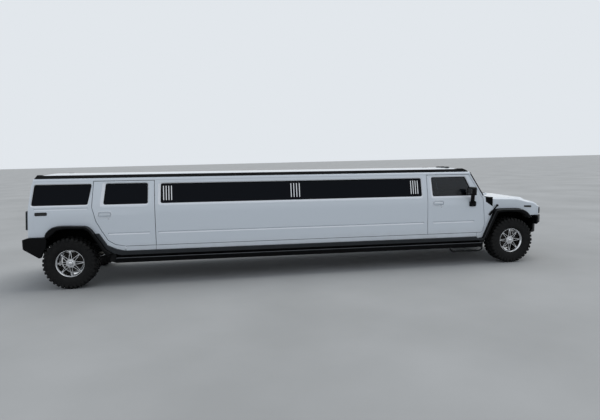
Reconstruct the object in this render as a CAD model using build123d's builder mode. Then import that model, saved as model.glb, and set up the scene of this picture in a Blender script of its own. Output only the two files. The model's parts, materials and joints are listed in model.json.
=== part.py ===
from build123d import *

import os
from math import atan2, cos, degrees, hypot, radians, sin

# Stretch limousine: a boxy off-road wagon lengthened by five metres between its doors.
# All sizes are in millimetres. Pieces are drawn level, in a body frame whose x runs forward from the front
# axle, whose y runs left and whose z runs up from the road under the front wheels. The body sits a little
# nose down on its wheels, so save() tips each body piece by RAKE about the front wheels' centre line, and
# moves the origin to the road under the middle of the whole car. Wheels and knuckles stay upright.

os.makedirs("parts", exist_ok=True)

# Stance
WHEELBASE = 8120
RAKE = 0.6
TYRE_R = 436
TYRE_HALF_W = 157.5
WHEEL_Y = 881.5
X_REAR = -WHEELBASE * cos(radians(RAKE))
Z_FRONT = TYRE_R
Z_REAR = TYRE_R - WHEELBASE * sin(radians(RAKE))
FRONT_X_IN_ROW = 3990

# Body side section: half width at each height, outside and inside
SIDE_OUT = [(496, 955), (1150, 947), (1329, 932), (1783, 838)]
SIDE_IN = [(496, 880), (1290, 880), (1320, 884), (1783, 790)]
DOOR_IN = [(496, 880), (1270, 880), (1320, 903), (1783, 808)]

# Heights and stations along the side
Z_SILL = 530
Z_DOOR_LOW = 612
Z_DOOR_TOP = 1727
Z_ROOF_LOW = 1735
SEAM = 5
X_B_SEAM = -1702
X_C_SEAM = -6702
FLOOR_LOW = 605
FLOOR_TOP = 630

# Rear face of the body: x at each height, from the bumper to the roof
TAIL = [(811, -8766), (1251, -8745), (1411, -8726), (1690, -8690), (1783, -8650)]
TAIL_WALL = 85

# Windscreen plane: foot and top on the centre line
GLASS_FOOT = (-585, 1350)
GLASS_TOP = (-820, 1791)

# Wheel arch outlines, from the sill round to the bumper
FRONT_ARCH_OUT = [(-590, 500), (-356, 1018), (-327, 1043), (-200, 1054), (120, 1050), (224, 1038), (292, 1009),
                  (340, 972), (425, 880)]
FRONT_ARCH_IN = [(345, 865), (235, 952), (150, 992), (-115, 1000), (-292, 985), (-520, 500)]
REAR_ARCH_OUT = [(-8486, 841), (-8464, 890), (-8425, 934), (-8364, 976), (-8298, 992), (-8190, 998),
                 (-7852, 985), (-7808, 970), (-7772, 942), (-7735, 904), (-7700, 842)]
REAR_ARCH_FOOT = [(-7612, 710), (-7531, 570), (-7430, 498)]
REAR_ARCH_IN = [(-7500, 440), (-7588, 545), (-7663, 690), (-7792, 885), (-7868, 932), (-8140, 942),
                (-8288, 922), (-8435, 795), (-8486, 795)]
FLARE_Y = (868, 1031)

# Windows: outline of each opening in x and z
STRETCH_WINDOW = [(-6603, 1335), (-6593, 1673), (-1816, 1673), (-1812, 1335)]
REAR_DOOR_WINDOW = [(-7552, 1332), (-7506, 1686), (-6812, 1686), (-6820, 1332)]
FRONT_DOOR_WINDOW = [(-1592, 1329), (-1606, 1686), (-918, 1686), (-825, 1470), (-748, 1329)]
QUARTER_WINDOW = [(-8698, 1338), (-8648, 1684), (-7733, 1684), (-7808, 1338)]

# Corner radius of the windows, depth of the glass, and the sloped border pressed round each window: its depth
# and its width behind, below, in front of and above the opening
CORNER_R = 28
SURROUND_DEEP = 20
GLASS_DEEP = 22
BORDER = (38, 38, 14, 14)
REAR_DOOR_BORDER = (56, 40, 14, 14)
QUARTER_BORDER = (12, 24, 12, 12)

# Depth of the creases pressed along the sides, and the middle of each handle in x and z
CREASE_DEEP = 11
FRONT_HANDLE = (-1488, 1200)
REAR_HANDLE = (-7530, 1166)

# Panels: outline of each in x and z
STRETCH_PANEL = [(X_C_SEAM + SEAM, Z_DOOR_LOW), (X_C_SEAM + SEAM, Z_ROOF_LOW), (X_B_SEAM - SEAM, Z_ROOF_LOW),
                 (X_B_SEAM - SEAM, Z_DOOR_LOW)]
FRONT_DOOR = [(X_B_SEAM + SEAM, Z_DOOR_LOW), (X_B_SEAM + SEAM, Z_DOOR_TOP), (-843, Z_DOOR_TOP), (-621, 1320),
              (-578, 1267), (-542, 771), (-574, 650), (-610, Z_DOOR_LOW)]
REAR_DOOR = [(X_C_SEAM - SEAM, Z_DOOR_LOW), (X_C_SEAM - SEAM, Z_DOOR_TOP), (-7698, Z_DOOR_TOP),
             (-7732, 1291), (-7672, 1049), (-7583, 880), (-7491, 722), (-7380, 650), (-7214, Z_DOOR_LOW)]
FENDER_PANEL = [(-612, 1322), (-569, 1267), (-532, 771), (-564, 646), (-604, 604), (-698, 604), (-698, 530),
                (-691, 501), (-590, 500), (-356, 1018), (-361, 1030), (-371, 1102), (-380, 1108), (-516, 1200),
                (-520, 1290), (-572, 1322)]
VENT = [(-512, 1208), (-506, 1290), (-370, 1286), (-372, 1112)]

# Screw holes for a plate, at the same height in front and behind above the road
PLATE_HOLE_Y = 88.9
PLATE_HOLE_R = 3.5
FRONT_PLATE_Z = 800
REAR_PLATE_Z = 790

# Hitch receiver: outside, inside, height and pin hole
RECEIVER = 63.5
RECEIVER_HOLE = 50.8
RECEIVER_Z = 536
PIN_R = 8.1

# Hood: x, side half width, shoulder height, dome height of each section
HOOD_SECTIONS = [(-360, 925, 1278, 1291), (160, 915, 1259, 1279), (530, 902, 1168, 1227), (640, 893, 1113, 1166),
                 (730, 884, 1093, 1132)]
HOOD_SIDE = [(-360, 1400), (-360, 1270), (-361, 1112), (-348, 1038), (-331, 1052), (-200, 1063), (122, 1059),
             (229, 1047), (298, 1017), (348, 980), (386, 941), (438, 908), (604, 908), (604, 1090), (760, 1090),
             (760, 1400)]
HOOD_FRONT_PLAN = [(722, 0), (706, 560), (612, 886), (560, 960), (-400, 960)]
HOOD_SKIN = 28
HOOD_HINGE = (722, 1088)

# Rim: barrel profile of radius and distance out from the wheel's middle, and the A-shaped spokes with the
# window in each
RIM_PROFILE = [(204, -118), (233, -118), (233, -107), (216, -100), (216, 100), (233, 107), (233, 118), (224, 118),
               (206, 92), (204, 60)]
SPOKES = 8
SPOKE = [(40, -22), (64, -26), (207, -12), (207, 12), (64, 26), (40, 22)]
SPOKE_WINDOW = [(72, -15), (180, -3.5), (180, 3.5), (72, 15)]
SPOKE_Y = (40, 78)
LUG_NUTS = 8
NUT_CIRCLE = 40
SPINDLE_R = 30
BEARING_PLAY = 0.05

# Tyre: how far out the sidewall lies at each radius, the number of lugs, the sides of each round outline, the
# radius between the lugs, and the taper of the shoulders
SIDEWALL_CUT = [(97, 232), (135, 256), (158, 352)]
LUGS = 36
TYRE_SIDES = 20
LUG_FOOT_R = 417
SHOULDER = [(132, 1.0), (157.5, 0.962)]
BORE_R = 217


def between(table, z):
    """Value of a height table at z."""
    for (z0, v0), (z1, v1) in zip(table, table[1:]):
        if z <= z1:
            return v0 + (v1 - v0) * (z - z0) / (z1 - z0)
    return table[-1][1]


def sketch_on(plane, points, radius=0):
    """Closed outline on a plane, with its corners rounded if a radius is given."""
    with BuildSketch(plane) as outline:
        with BuildLine():
            Polyline(*points, close=True)
        make_face()
        if radius:
            fillet(outline.vertices(), radius)
    return outline.sketch


def side_block(points, y0, y1, mode=Mode.ADD, radius=0):
    """Outline in x and z, solid from y0 to y1."""
    face = sketch_on(Plane.XZ.offset(-y0), points, radius)
    extrude(face, amount=abs(y1 - y0), dir=(0, 1 if y1 > y0 else -1, 0), mode=mode)


def cross_block(points, x0, x1, mode=Mode.ADD, radius=0):
    """Outline in y and z, solid from x0 to x1."""
    face = sketch_on(Plane.YZ.offset(x0), points, radius)
    extrude(face, amount=abs(x1 - x0), dir=(1 if x1 > x0 else -1, 0, 0), mode=mode)


def plan_block(points, z0, z1, mode=Mode.ADD, radius=0):
    """Outline in x and y, solid from z0 to z1."""
    face = sketch_on(Plane.XY.offset(z0), points, radius)
    extrude(face, amount=abs(z1 - z0), dir=(0, 0, 1 if z1 > z0 else -1), mode=mode)


def block(x, y, z, mode=Mode.ADD):
    """Plain box from three pairs of limits."""
    with Locations(((x[0] + x[1]) / 2, (y[0] + y[1]) / 2, (z[0] + z[1]) / 2)):
        Box(abs(x[1] - x[0]), abs(y[1] - y[0]), abs(z[1] - z[0]), mode=mode)


def disc(plane, radius):
    """Round face on a plane."""
    with BuildSketch(plane) as flat:
        Circle(radius)
    return flat.sketch


def rod(start, end, radius, mode=Mode.ADD):
    """Round bar between two points."""
    way = Vector(*end) - Vector(*start)
    face = disc(Plane(origin=start, z_dir=way), radius)
    extrude(face, amount=way.length, dir=way.normalized(), mode=mode)


def side_section(side, z0, z1, outer, inner, out_by=0, in_by=0):
    """Wall section in y and z on one side, between two heights."""
    levels = [z0] + [z for z, _ in outer if z0 < z < z1] + [z1]
    back = [z0] + [z for z, _ in inner if z0 < z < z1] + [z1]
    points = [(side * (between(outer, z) + out_by), z) for z in levels]
    points += [(side * (between(inner, z) + in_by), z) for z in reversed(back)]
    return points


def surround(side, window, border):
    """Sloped border pressed round a window: wide at the skin, narrowing to the glass."""
    behind, below, ahead, above = border
    xs = [x for x, _ in window]
    zs = [z for _, z in window]
    middle = ((min(xs) + max(xs)) / 2, (min(zs) + max(zs)) / 2)
    lean = atan2(SIDE_OUT[2][1] - SIDE_OUT[3][1], SIDE_OUT[3][0] - SIDE_OUT[2][0])
    skin = Plane(origin=(0, side * SIDE_OUT[2][1], SIDE_OUT[2][0]), x_dir=(-side, 0, 0),
                 z_dir=(0, side * cos(lean), sin(lean)))
    wide = []
    narrow = []
    for x, z in window:
        corner = abs(z - middle[1]) > 0.8 * (max(zs) - middle[1])
        x_out = x - behind if x < middle[0] else x + ahead
        z_out = (z - below if z < middle[1] else z + above) if corner else z
        wide.append((-side * x_out, (z_out - SIDE_OUT[2][0]) / cos(lean)))
        narrow.append((-side * x, (z - SIDE_OUT[2][0]) / cos(lean)))
    outer = offset(sketch_on(skin.offset(2), wide, CORNER_R + 10), amount=2, kind=Kind.ARC)
    inner = offset(sketch_on(skin.offset(-SURROUND_DEEP), narrow, CORNER_R), amount=0.5, kind=Kind.ARC)
    return loft([outer.face(), inner.face()], ruled=True, mode=Mode.PRIVATE)


def wall(side, outline, window=None, inner=SIDE_IN, creases=(), handle=None, border=BORDER):
    """Panel of the body side, cut to its outline, with its window, its pressed creases and its handle."""
    xs = [p[0] for p in outline]
    zs = [p[1] for p in outline]
    with BuildPart() as panel:
        cross_block(side_section(side, min(zs), max(zs), SIDE_OUT, inner), min(xs), max(xs))
        if window:
            side_block(window, side * 700, side * 1000, mode=Mode.SUBTRACT, radius=CORNER_R)
            add(surround(side, window, border), mode=Mode.SUBTRACT)
        side_block(outline, side * 700, side * 1000, mode=Mode.INTERSECT)
        for x0, x1, z in creases:
            y = between(SIDE_OUT, z)
            cross_block([(side * (y + 2), z + 9), (side * (y - CREASE_DEEP), z), (side * (y + 2), z - 28)], x0, x1,
                        mode=Mode.SUBTRACT)
        if handle:
            x, z = handle
            y = between(SIDE_OUT, z)
            pocket = [(x - 108, z - 46), (x + 108, z - 46), (x + 108, z + 46), (x - 108, z + 46)]
            grip = [(x - 92, z - 17), (x + 92, z - 17), (x + 92, z + 14), (x - 92, z + 14)]
            side_block(pocket, side * (y - 18), side * (y + 20), mode=Mode.SUBTRACT, radius=40)
            side_block(grip, side * (y - 24), side * (y + 16), radius=13)
    return panel.part


def pane(side, window, play=1.0):
    """Glass that fills a window opening, set a little behind the panel's face."""
    xs = [p[0] for p in window]
    zs = [p[1] for p in window]
    outer = [(z, y - GLASS_DEEP) for z, y in SIDE_OUT]
    inner = [(z, y - GLASS_DEEP - 6) for z, y in SIDE_OUT]
    face = offset(sketch_on(Plane.XZ.offset(-side * 700), window, CORNER_R), amount=-play,
                  kind=Kind.INTERSECTION)
    with BuildPart() as glass:
        cross_block(side_section(side, min(zs), max(zs), outer, inner), min(xs), max(xs))
        extrude(face, amount=300, dir=(0, side, 0), mode=Mode.INTERSECT)
    return glass.part


def tail_x(z, inset=0):
    """Rear face of the body at a height, moved forward by an inset."""
    return between(TAIL, z) + inset


def tail_band(z0, z1, near, far):
    """Slice that follows the rear face, between two depths, as an outline in x and z."""
    levels = [z0] + [z for z, _ in TAIL if z0 < z < z1] + [z1]
    return [(tail_x(z, near), z) for z in levels] + [(tail_x(z, far), z) for z in reversed(levels)]


def both(points):
    """Outline given for one side of the centre plane, closed by its mirror image (y comes first)."""
    return list(points) + [(-y, z) for y, z in reversed(points)]


def both_plan(points):
    """The same for an outline in x and y."""
    return list(points) + [(x, -y) for x, y in reversed(points) if y]


LEVEL_TO_ROW = Location((FRONT_X_IN_ROW, 0, Z_FRONT)) * Rotation(0, RAKE, 0) * Location((0, 0, -Z_FRONT))
UPRIGHT_TO_ROW = Location((FRONT_X_IN_ROW, 0, 0))


def level(x, y, z):
    """Body-frame place of a point given in the row's frame."""
    return tuple((LEVEL_TO_ROW.inverse() * Location((x, y, z))).position)


def save(built, name, place=LEVEL_TO_ROW):
    """Move a finished piece into the row's frame and write it."""
    shape = place * built.part
    shape.label = name
    export_step(shape, "parts/" + name + ".step")


# Frame: two long rails
with BuildPart() as frame:
    for side in (1, -1):
        block((-8600, 712), (side * 380, side * 460), (480, 600))
save(frame, "frame")

# Members across the frame, the saddles of the front suspension and the hitch receiver
MEMBER_X = (520, -1650, -2900, -4100, -5300, -6500, -7450, -8540)
with BuildPart() as cross_members:
    for x in MEMBER_X:
        block((x - 40, x + 40), (-380, 380), (500, 590))
    for side in (1, -1):
        for end in (1, -1):
            block((end * 45, end * 160), (side * 300, side * 455), (322, 480))
    half = RECEIVER / 2
    hole = RECEIVER_HOLE / 2
    block((-8868, -8570), (-half, half), (RECEIVER_Z - half, RECEIVER_Z + half))
    block((-8900, -8620), (-hole, hole), (RECEIVER_Z - hole, RECEIVER_Z + hole), mode=Mode.SUBTRACT)
    rod((-8805, -60, RECEIVER_Z), (-8805, 60, RECEIVER_Z), PIN_R, mode=Mode.SUBTRACT)
save(cross_members, "cross_members")

# Floor pan, narrow between the rear wheels
with BuildPart() as floor:
    plan_block(both_plan([(-650, 866), (-7590, 866), (-7590, 690), (-8570, 690), (-8570, 866), (-8590, 866)]),
               FLOOR_LOW, FLOOR_TOP)
save(floor, "floor")

# Wheel houses: tubs open downwards and outwards, the front ones sloped clear of the tilting hood
FRONT_TUB = [(-590, 605), (-590, 1020), (480, 1020), (556, 900), (556, 605)]
REAR_TUB = [(-8572, 631), (-8572, 1012), (-7588, 1012), (-7588, 631)]
TUB_WALL = 14
with BuildPart() as wheelhouses:
    for outline, y_in in ((FRONT_TUB, 492), (REAR_TUB, 692)):
        xs = [x for x, _ in outline]
        foot = min(z for _, z in outline)
        for side in (1, -1):
            side_block(outline, side * y_in, side * 866)
            start = side * (y_in + TUB_WALL)
            inside = offset(sketch_on(Plane.XZ.offset(-start), outline), amount=-TUB_WALL,
                            kind=Kind.INTERSECTION)
            extrude(inside, amount=400, dir=(0, side, 0), mode=Mode.SUBTRACT)
            block((min(xs) + TUB_WALL, max(xs) - TUB_WALL), (start, side * 900), (foot - 5, foot + TUB_WALL + 1),
                  mode=Mode.SUBTRACT)
save(wheelhouses, "wheelhouses")

# Roof: crowned panel with a ditch for each rail and a lip down each side
ROOF_SIDE = [(tail_x(Z_ROOF_LOW), Z_ROOF_LOW), (-8666, 1783), (-8618, 1838), (-8560, 1860), (-980, 1860),
             (-905, 1844), (-845, 1811), (-822, 1795), (-790, Z_ROOF_LOW)]
CROWN_Y = 750
CROWN_Z = 1806
CROWN_TOP = 1857
CROWN_UNDER = 1812
with BuildPart() as roof:
    with BuildSketch(Plane.YZ.offset(-8680)) as roof_section:
        with BuildLine():
            Polyline((850, Z_ROOF_LOW), (844, 1763), (826, 1783), (758, 1783), (CROWN_Y, CROWN_Z))
            ThreePointArc((CROWN_Y, CROWN_Z), (0, CROWN_TOP), (-CROWN_Y, CROWN_Z))
            Polyline((-CROWN_Y, CROWN_Z), (-758, 1783), (-826, 1783), (-844, 1763), (-850, Z_ROOF_LOW),
                     (-800, Z_ROOF_LOW), (-784, 1762))
            ThreePointArc((-784, 1762), (0, CROWN_UNDER), (784, 1762))
            Polyline((784, 1762), (800, Z_ROOF_LOW), (850, Z_ROOF_LOW))
        make_face()
    extrude(amount=7900)
    for x0, x1 in ((-8680, -8560), (-860, -780)):
        block((x0, x1), (-800, 800), (Z_ROOF_LOW, 1782))
        block((x0, x1), (-740, 740), (Z_ROOF_LOW, 1800))
        block((x0, x1), (-560, 560), (Z_ROOF_LOW, 1818))
    side_block(ROOF_SIDE, -900, 900, mode=Mode.INTERSECT)
save(roof, "roof")

# Side walls of the stretch, their sills and the rear quarters
STRETCH_CREASES = [(-6658, -1775, 838)]
pair = [wall(side, STRETCH_PANEL, STRETCH_WINDOW, creases=STRETCH_CREASES) for side in (1, -1)]
with BuildPart() as stretch_sides:
    add(pair)
    for side in (1, -1):
        cross_block(side_section(side, Z_SILL, 604, SIDE_OUT, SIDE_IN), -7206, -706)
save(stretch_sides, "stretch_sides")

QUARTER = [(-7708, Z_ROOF_LOW), (-7742, 1291), (-7682, 1045), (-7593, 874), (-7501, 714), (-7386, 641),
           (-7214, 604), (-7214, 530), (-7362, 566), (-7507, 636), (-7634, 842)]
QUARTER += list(reversed(REAR_ARCH_OUT)) + [(-8486, 811)]
QUARTER += [(tail_x(z, TAIL_WALL), z) for z in (811, 1251, 1411, 1690, Z_ROOF_LOW)]
QUARTER_CREASES = [(-8700, -7800, 1280)]
pair = [wall(side, QUARTER, QUARTER_WINDOW, creases=QUARTER_CREASES, border=QUARTER_BORDER) for side in (1, -1)]
with BuildPart() as rear_quarters:
    add(pair)
save(rear_quarters, "rear_quarters")

# Tail frame: the rear wall round the liftgate
GATE_HOLE = [(690, 850), (690, 1300), (640, 1694)]
with BuildPart() as tail_frame:
    cross_block(both([(between(SIDE_OUT, z), z) for z in (811, 1150, 1329, Z_ROOF_LOW)]), -8800, -8500)
    side_block(tail_band(811, Z_ROOF_LOW, 0, TAIL_WALL - 1), -960, 960, mode=Mode.INTERSECT)
    cross_block(both(GATE_HOLE), -8800, -8500, mode=Mode.SUBTRACT)
    behind_glass = [(z, y - GLASS_DEEP - 7) for z, y in SIDE_OUT]
    for side in (1, -1):
        pocket = extrude(sketch_on(Plane.XZ.offset(-side * 700), QUARTER_WINDOW, CORNER_R), amount=300,
                         dir=(0, side, 0), mode=Mode.PRIVATE)
        keep = [(side * 1000, 1330), (side * 1000, 1700)]
        keep += [(side * between(behind_glass, z), z) for z in (1700, 1330)]
        depth = extrude(sketch_on(Plane.YZ.offset(-8800), keep), amount=1200, dir=(1, 0, 0), mode=Mode.PRIVATE)
        add(pocket & depth, mode=Mode.SUBTRACT)
        add(surround(side, QUARTER_WINDOW, QUARTER_BORDER), mode=Mode.SUBTRACT)
save(tail_frame, "tail_frame")

# Front fender panels behind the wheels, each with the foot that holds the hood's strap
STRAP = [(-287, 1124), (-432, 958)]
STRAP_Y = (952, 966)
pair = [wall(side, FENDER_PANEL) for side in (1, -1)]
with BuildPart() as fender_panels:
    add(pair)
    for side in (1, -1):
        rod((STRAP[1][0], side * 940, STRAP[1][1]), (STRAP[1][0], side * STRAP_Y[0], STRAP[1][1]), 15)
save(fender_panels, "fender_panels")

# Cowl: bulkhead, tray under the windscreen and the black louvred vent at each side
LOUVRES = 5
with BuildPart() as cowl:
    side_block([(-640, 605), (-600, 605), (-600, 1225), (-378, 1225), (-378, 1262), (-555, 1300), (-569, 1321),
                (-640, 1321)], -866, 866)
    for side in (1, -1):
        side_block(VENT, side * 860, side * 936)
        for i in range(LOUVRES):
            x = -496 + 24 * i
            groove = [(x, 1090), (x + 12, 1090), (x + 12, 1300), (x, 1300)]
            side_block(groove, side * 924, side * 940, mode=Mode.SUBTRACT)
save(cowl, "cowl")

# Windscreen frame and glass, drawn on the sloping plane of the glass
run = hypot(GLASS_TOP[0] - GLASS_FOOT[0], GLASS_TOP[1] - GLASS_FOOT[1])
up_slope = ((GLASS_TOP[0] - GLASS_FOOT[0]) / run, 0, (GLASS_TOP[1] - GLASS_FOOT[1]) / run)
screen_plane = Plane(origin=(GLASS_FOOT[0], 0, GLASS_FOOT[1]), x_dir=(0, 1, 0), z_dir=(up_slope[2], 0, -up_slope[0]))
screen_out = (-up_slope[2], 0, up_slope[0])
SCREEN_HOLE = [(845, 52), (778, 392)]
SCREEN_SETBACK = 10
with BuildPart() as windscreen_frame:
    face = sketch_on(screen_plane, both([(934, -40), (837, 480)]))
    extrude(face, amount=38, dir=screen_out)
    hole = sketch_on(screen_plane, both(SCREEN_HOLE), 40)
    extrude(hole, amount=60, dir=screen_out, mode=Mode.SUBTRACT)
    block((-1000, -400), (-1000, 1000), (1200, 1322), mode=Mode.SUBTRACT)
    block((-1000, -400), (-1000, 1000), (Z_ROOF_LOW, 1900), mode=Mode.SUBTRACT)
save(windscreen_frame, "windscreen_frame")

with BuildPart() as windscreen:
    face = offset(sketch_on(screen_plane.offset(-SCREEN_SETBACK), both(SCREEN_HOLE), 40), amount=-1,
                  kind=Kind.INTERSECTION)
    extrude(face, amount=6, dir=screen_out)
save(windscreen, "windscreen")

# Fixed side glass and the chrome bars on the long windows
pair = [pane(side, window) for side in (1, -1) for window in (STRETCH_WINDOW, QUARTER_WINDOW)]
with BuildPart() as fixed_glass:
    add(pair)
save(fixed_glass, "fixed_glass")

BAR_GROUPS = [(-6552, -6382), (-4313, -4123), (-2030, -1862)]
BAR_WIDTH = 27
with BuildPart() as window_bars:
    outer = [(z, y + 3) for z, y in SIDE_OUT]
    inner = [(z, y - GLASS_DEEP) for z, y in SIDE_OUT]
    for side in (1, -1):
        for x0, x1 in BAR_GROUPS:
            for i in range(4):
                x = x0 + i * (x1 - x0 - BAR_WIDTH) / 3
                cross_block(side_section(side, 1361, 1653, outer, inner), x, x + BAR_WIDTH)
save(window_bars, "window_bars")

# Roof rails, with a wedge at the tail, and the five small lamps above the windscreen
RAIL = [(-8660, 1783), (-8602, 1850), (-8528, 1850), (-8510, 1838), (-1090, 1838), (-1060, 1849), (-960, 1849),
        (-905, 1830), (-852, 1803), (-836, 1783)]
with BuildPart() as roof_rails:
    for side in (1, -1):
        side_block(RAIL, side * 768, side * 824)
save(roof_rails, "roof_rails")

ROOF_LAMP_Y = [-640, -180, 0, 180, 640]
ROOF_LAMP_X = -960
with BuildPart() as roof_lamps:
    for y in ROOF_LAMP_Y:
        foot = CROWN_Z + (CROWN_TOP - CROWN_Z) * (1 - (y / CROWN_Y) ** 2)
        side_block([(ROOF_LAMP_X - 60, foot - 1), (ROOF_LAMP_X - 38, foot + 24), (ROOF_LAMP_X + 18, foot + 22),
                    (ROOF_LAMP_X + 50, foot - 1)], y - 45, y + 45, radius=0)
    with BuildSketch(Plane.YZ.offset(-1200)) as under_roof:
        with BuildLine():
            Line((-CROWN_Y, CROWN_Z), (-CROWN_Y, 1700))
            Line((-CROWN_Y, 1700), (CROWN_Y, 1700))
            Line((CROWN_Y, 1700), (CROWN_Y, CROWN_Z))
            ThreePointArc((CROWN_Y, CROWN_Z), (0, CROWN_TOP), (-CROWN_Y, CROWN_Z))
        make_face()
    extrude(under_roof.sketch, amount=400, dir=(1, 0, 0), mode=Mode.SUBTRACT)
save(roof_lamps, "roof_lamps")

# Front: upright panel with seven plain slots, the grille behind it, round lamps and corner lamps
FRONT_PLAN = [(772, 0), (758, 560), (692, 835), (645, 888), (612, 888), (612, 850), (650, 800), (712, 540),
              (726, 0)]
LAMP_Y = 697
LAMP_R = 77
SLOT_Y = [i * 138 for i in range(-3, 4)]
CORNER_LAMP = [(702, 800), (694, 838), (652, 884), (636, 866), (668, 828), (682, 795)]
CORNER_LAMP_Z = (932, 1056)
with BuildPart() as front_panel:
    for side in (1, -1):
        plan_block([(x, side * y) for x, y in FRONT_PLAN], 908, 1082)
    for y in SLOT_Y:
        slot = [(y - 44, 926), (y + 44, 926), (y + 44, 1066), (y - 44, 1066)]
        cross_block(slot, 650, 800, mode=Mode.SUBTRACT, radius=14)
    for side in (1, -1):
        rod((640, side * (LAMP_Y - 20), 995), (800, side * (LAMP_Y + 18.4), 995), LAMP_R + 2, mode=Mode.SUBTRACT)
        plan_block([(x, side * y) for x, y in CORNER_LAMP], *CORNER_LAMP_Z, mode=Mode.SUBTRACT)
save(front_panel, "front_panel")

GRILLE_BARS_Z = [952, 981, 1011, 1040]
with BuildPart() as grille:
    block((690, 702), (-520, 520), (912, 1078))
    for z in GRILLE_BARS_Z:
        block((702, 712), (-470, 470), (z - 4, z + 4))
save(grille, "grille")

FOG_LAMP = (585, 800)
FOG_R = 44
with BuildPart() as headlamps:
    for side in (1, -1):
        rod((690, side * (LAMP_Y - 8), 995), (730, side * (LAMP_Y + 1.6), 995), LAMP_R)
        start = Vector(729, side * (LAMP_Y + 1.4), 995)
        face = Plane(origin=start, z_dir=Vector(275, side * 66, 0))
        lens = loft([disc(face, LAMP_R - 4).face(), disc(face.offset(13), LAMP_R - 30).face()], ruled=True,
                    mode=Mode.PRIVATE)
        add(lens)
        plan = sketch_on(Plane.XY.offset(CORNER_LAMP_Z[0] + 1), [(x, side * y) for x, y in CORNER_LAMP])
        corner = offset(plan, amount=-1, kind=Kind.INTERSECTION)
        extrude(corner, amount=CORNER_LAMP_Z[1] - CORNER_LAMP_Z[0] - 2, dir=(0, 0, 1))
        rod((800, side * FOG_LAMP[0], FOG_LAMP[1]), (824, side * FOG_LAMP[0], FOG_LAMP[1]), FOG_R)
save(headlamps, "headlamps")

with BuildPart() as tail_lamps:
    for side in (1, -1):
        side_block([(tail_x(935) - 48, 935), (tail_x(935), 935), (tail_x(1250), 1250), (tail_x(1250) - 44, 1250)],
                   side * 745, side * 905)
        for z in (1040, 1145):
            groove = [(tail_x(z) - 60, z - 4), (tail_x(z) - 34, z - 4), (tail_x(z) - 34, z + 4),
                      (tail_x(z) - 60, z + 4)]
            side_block(groove, side * 740, side * 910, mode=Mode.SUBTRACT)
save(tail_lamps, "tail_lamps")

# Bumpers
BUMPER_PLAN = [(885, 0), (885, 200), (868, 430), (806, 700), (724, 832), (630, 935), (575, 990), (545, 990),
               (545, 905), (610, 850), (700, 640), (765, 400), (778, 0)]
VALANCE_PLAN = [(826, 0), (805, 450), (722, 690), (640, 770), (575, 800), (575, 720), (640, 650), (735, 430),
                (745, 0)]
TOW_LOOP = [(770, 660), (880, 660), (897, 620), (889, 552), (852, 492), (807, 466), (776, 500)]
with BuildPart() as front_bumper:
    for side in (1, -1):
        plan_block([(x, side * y) for x, y in BUMPER_PLAN], 705, 897)
        cross_block([(side * 600, 700), (side * 872, 700), (side * 872, 764)], 500, 900, mode=Mode.SUBTRACT)
        side_block([(530, 700), (530, 724), (640, 794), (740, 794), (740, 700)], side * 871, side * 1000,
                   mode=Mode.SUBTRACT)
        plan_block([(x, side * y) for x, y in VALANCE_PLAN], 545, 712)
        side_block(TOW_LOOP, side * 405, side * 437)
        rod((838, side * 390, 545), (838, side * 450, 545), 27, mode=Mode.SUBTRACT)
        rod((799, side * FOG_LAMP[0], FOG_LAMP[1]), (900, side * FOG_LAMP[0], FOG_LAMP[1]), FOG_R + 2,
            mode=Mode.SUBTRACT)
        rod(level(FRONT_X_IN_ROW + 860, side * PLATE_HOLE_Y, FRONT_PLATE_Z),
            level(FRONT_X_IN_ROW + 910, side * PLATE_HOLE_Y, FRONT_PLATE_Z), PLATE_HOLE_R, mode=Mode.SUBTRACT)
save(front_bumper, "front_bumper")

REAR_BUMPER_SIDE = [(-8860, 776), (-8745, 809), (-8489, 804), (-8489, 792), (-8466, 770), (-8486, 640),
                    (-8556, 520), (-8580, 462), (-8604, 462), (-8850, 625)]
with BuildPart() as rear_bumper:
    side_block(REAR_BUMPER_SIDE, -1000, 1000)
    plan_block(both_plan([(-8870, 0), (-8868, 900), (-8850, 984), (-8826, 1000), (-8400, 1000), (-8400, 0)]), 400,
               830, mode=Mode.INTERSECT)
    plan_block(both_plan([(-8785, 0), (-8785, 880), (-8700, 925), (-8400, 925), (-8400, 0)]), 400, 830,
               mode=Mode.SUBTRACT)
    for side in (1, -1):
        rod(level(FRONT_X_IN_ROW - 8830, side * PLATE_HOLE_Y, REAR_PLATE_Z),
            level(FRONT_X_IN_ROW - 8890, side * PLATE_HOLE_Y, REAR_PLATE_Z), PLATE_HOLE_R, mode=Mode.SUBTRACT)
save(rear_bumper, "rear_bumper")

# Flares with a sloped outer border, side cladding and running boards
FLARE_BEVEL = 16
with BuildPart() as flares:
    for side in (1, -1):
        side_block(FRONT_ARCH_OUT + FRONT_ARCH_IN, side * FLARE_Y[0], side * FLARE_Y[1])
        side_block(REAR_ARCH_OUT + REAR_ARCH_FOOT + REAR_ARCH_IN, side * FLARE_Y[0], side * FLARE_Y[1])
    outer_rims = [e for e in flares.edges() if abs(abs(e.center().Y) - FLARE_Y[1]) < 0.1]
    chamfer(outer_rims, FLARE_BEVEL)
save(flares, "flares")

CLADDING = [(-7697, 840), (-7636, 840), (-7509, 634), (-7362, 563), (-7208, 527), (-700, 527), (-700, 497),
            (-530, 497), (-552, 457), (-7290, 457), (-7426, 497), (-7529, 569), (-7609, 708)]
with BuildPart() as side_cladding:
    for side in (1, -1):
        side_block(CLADDING, side * 880, side * 985)
save(side_cladding, "side_cladding")

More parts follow.
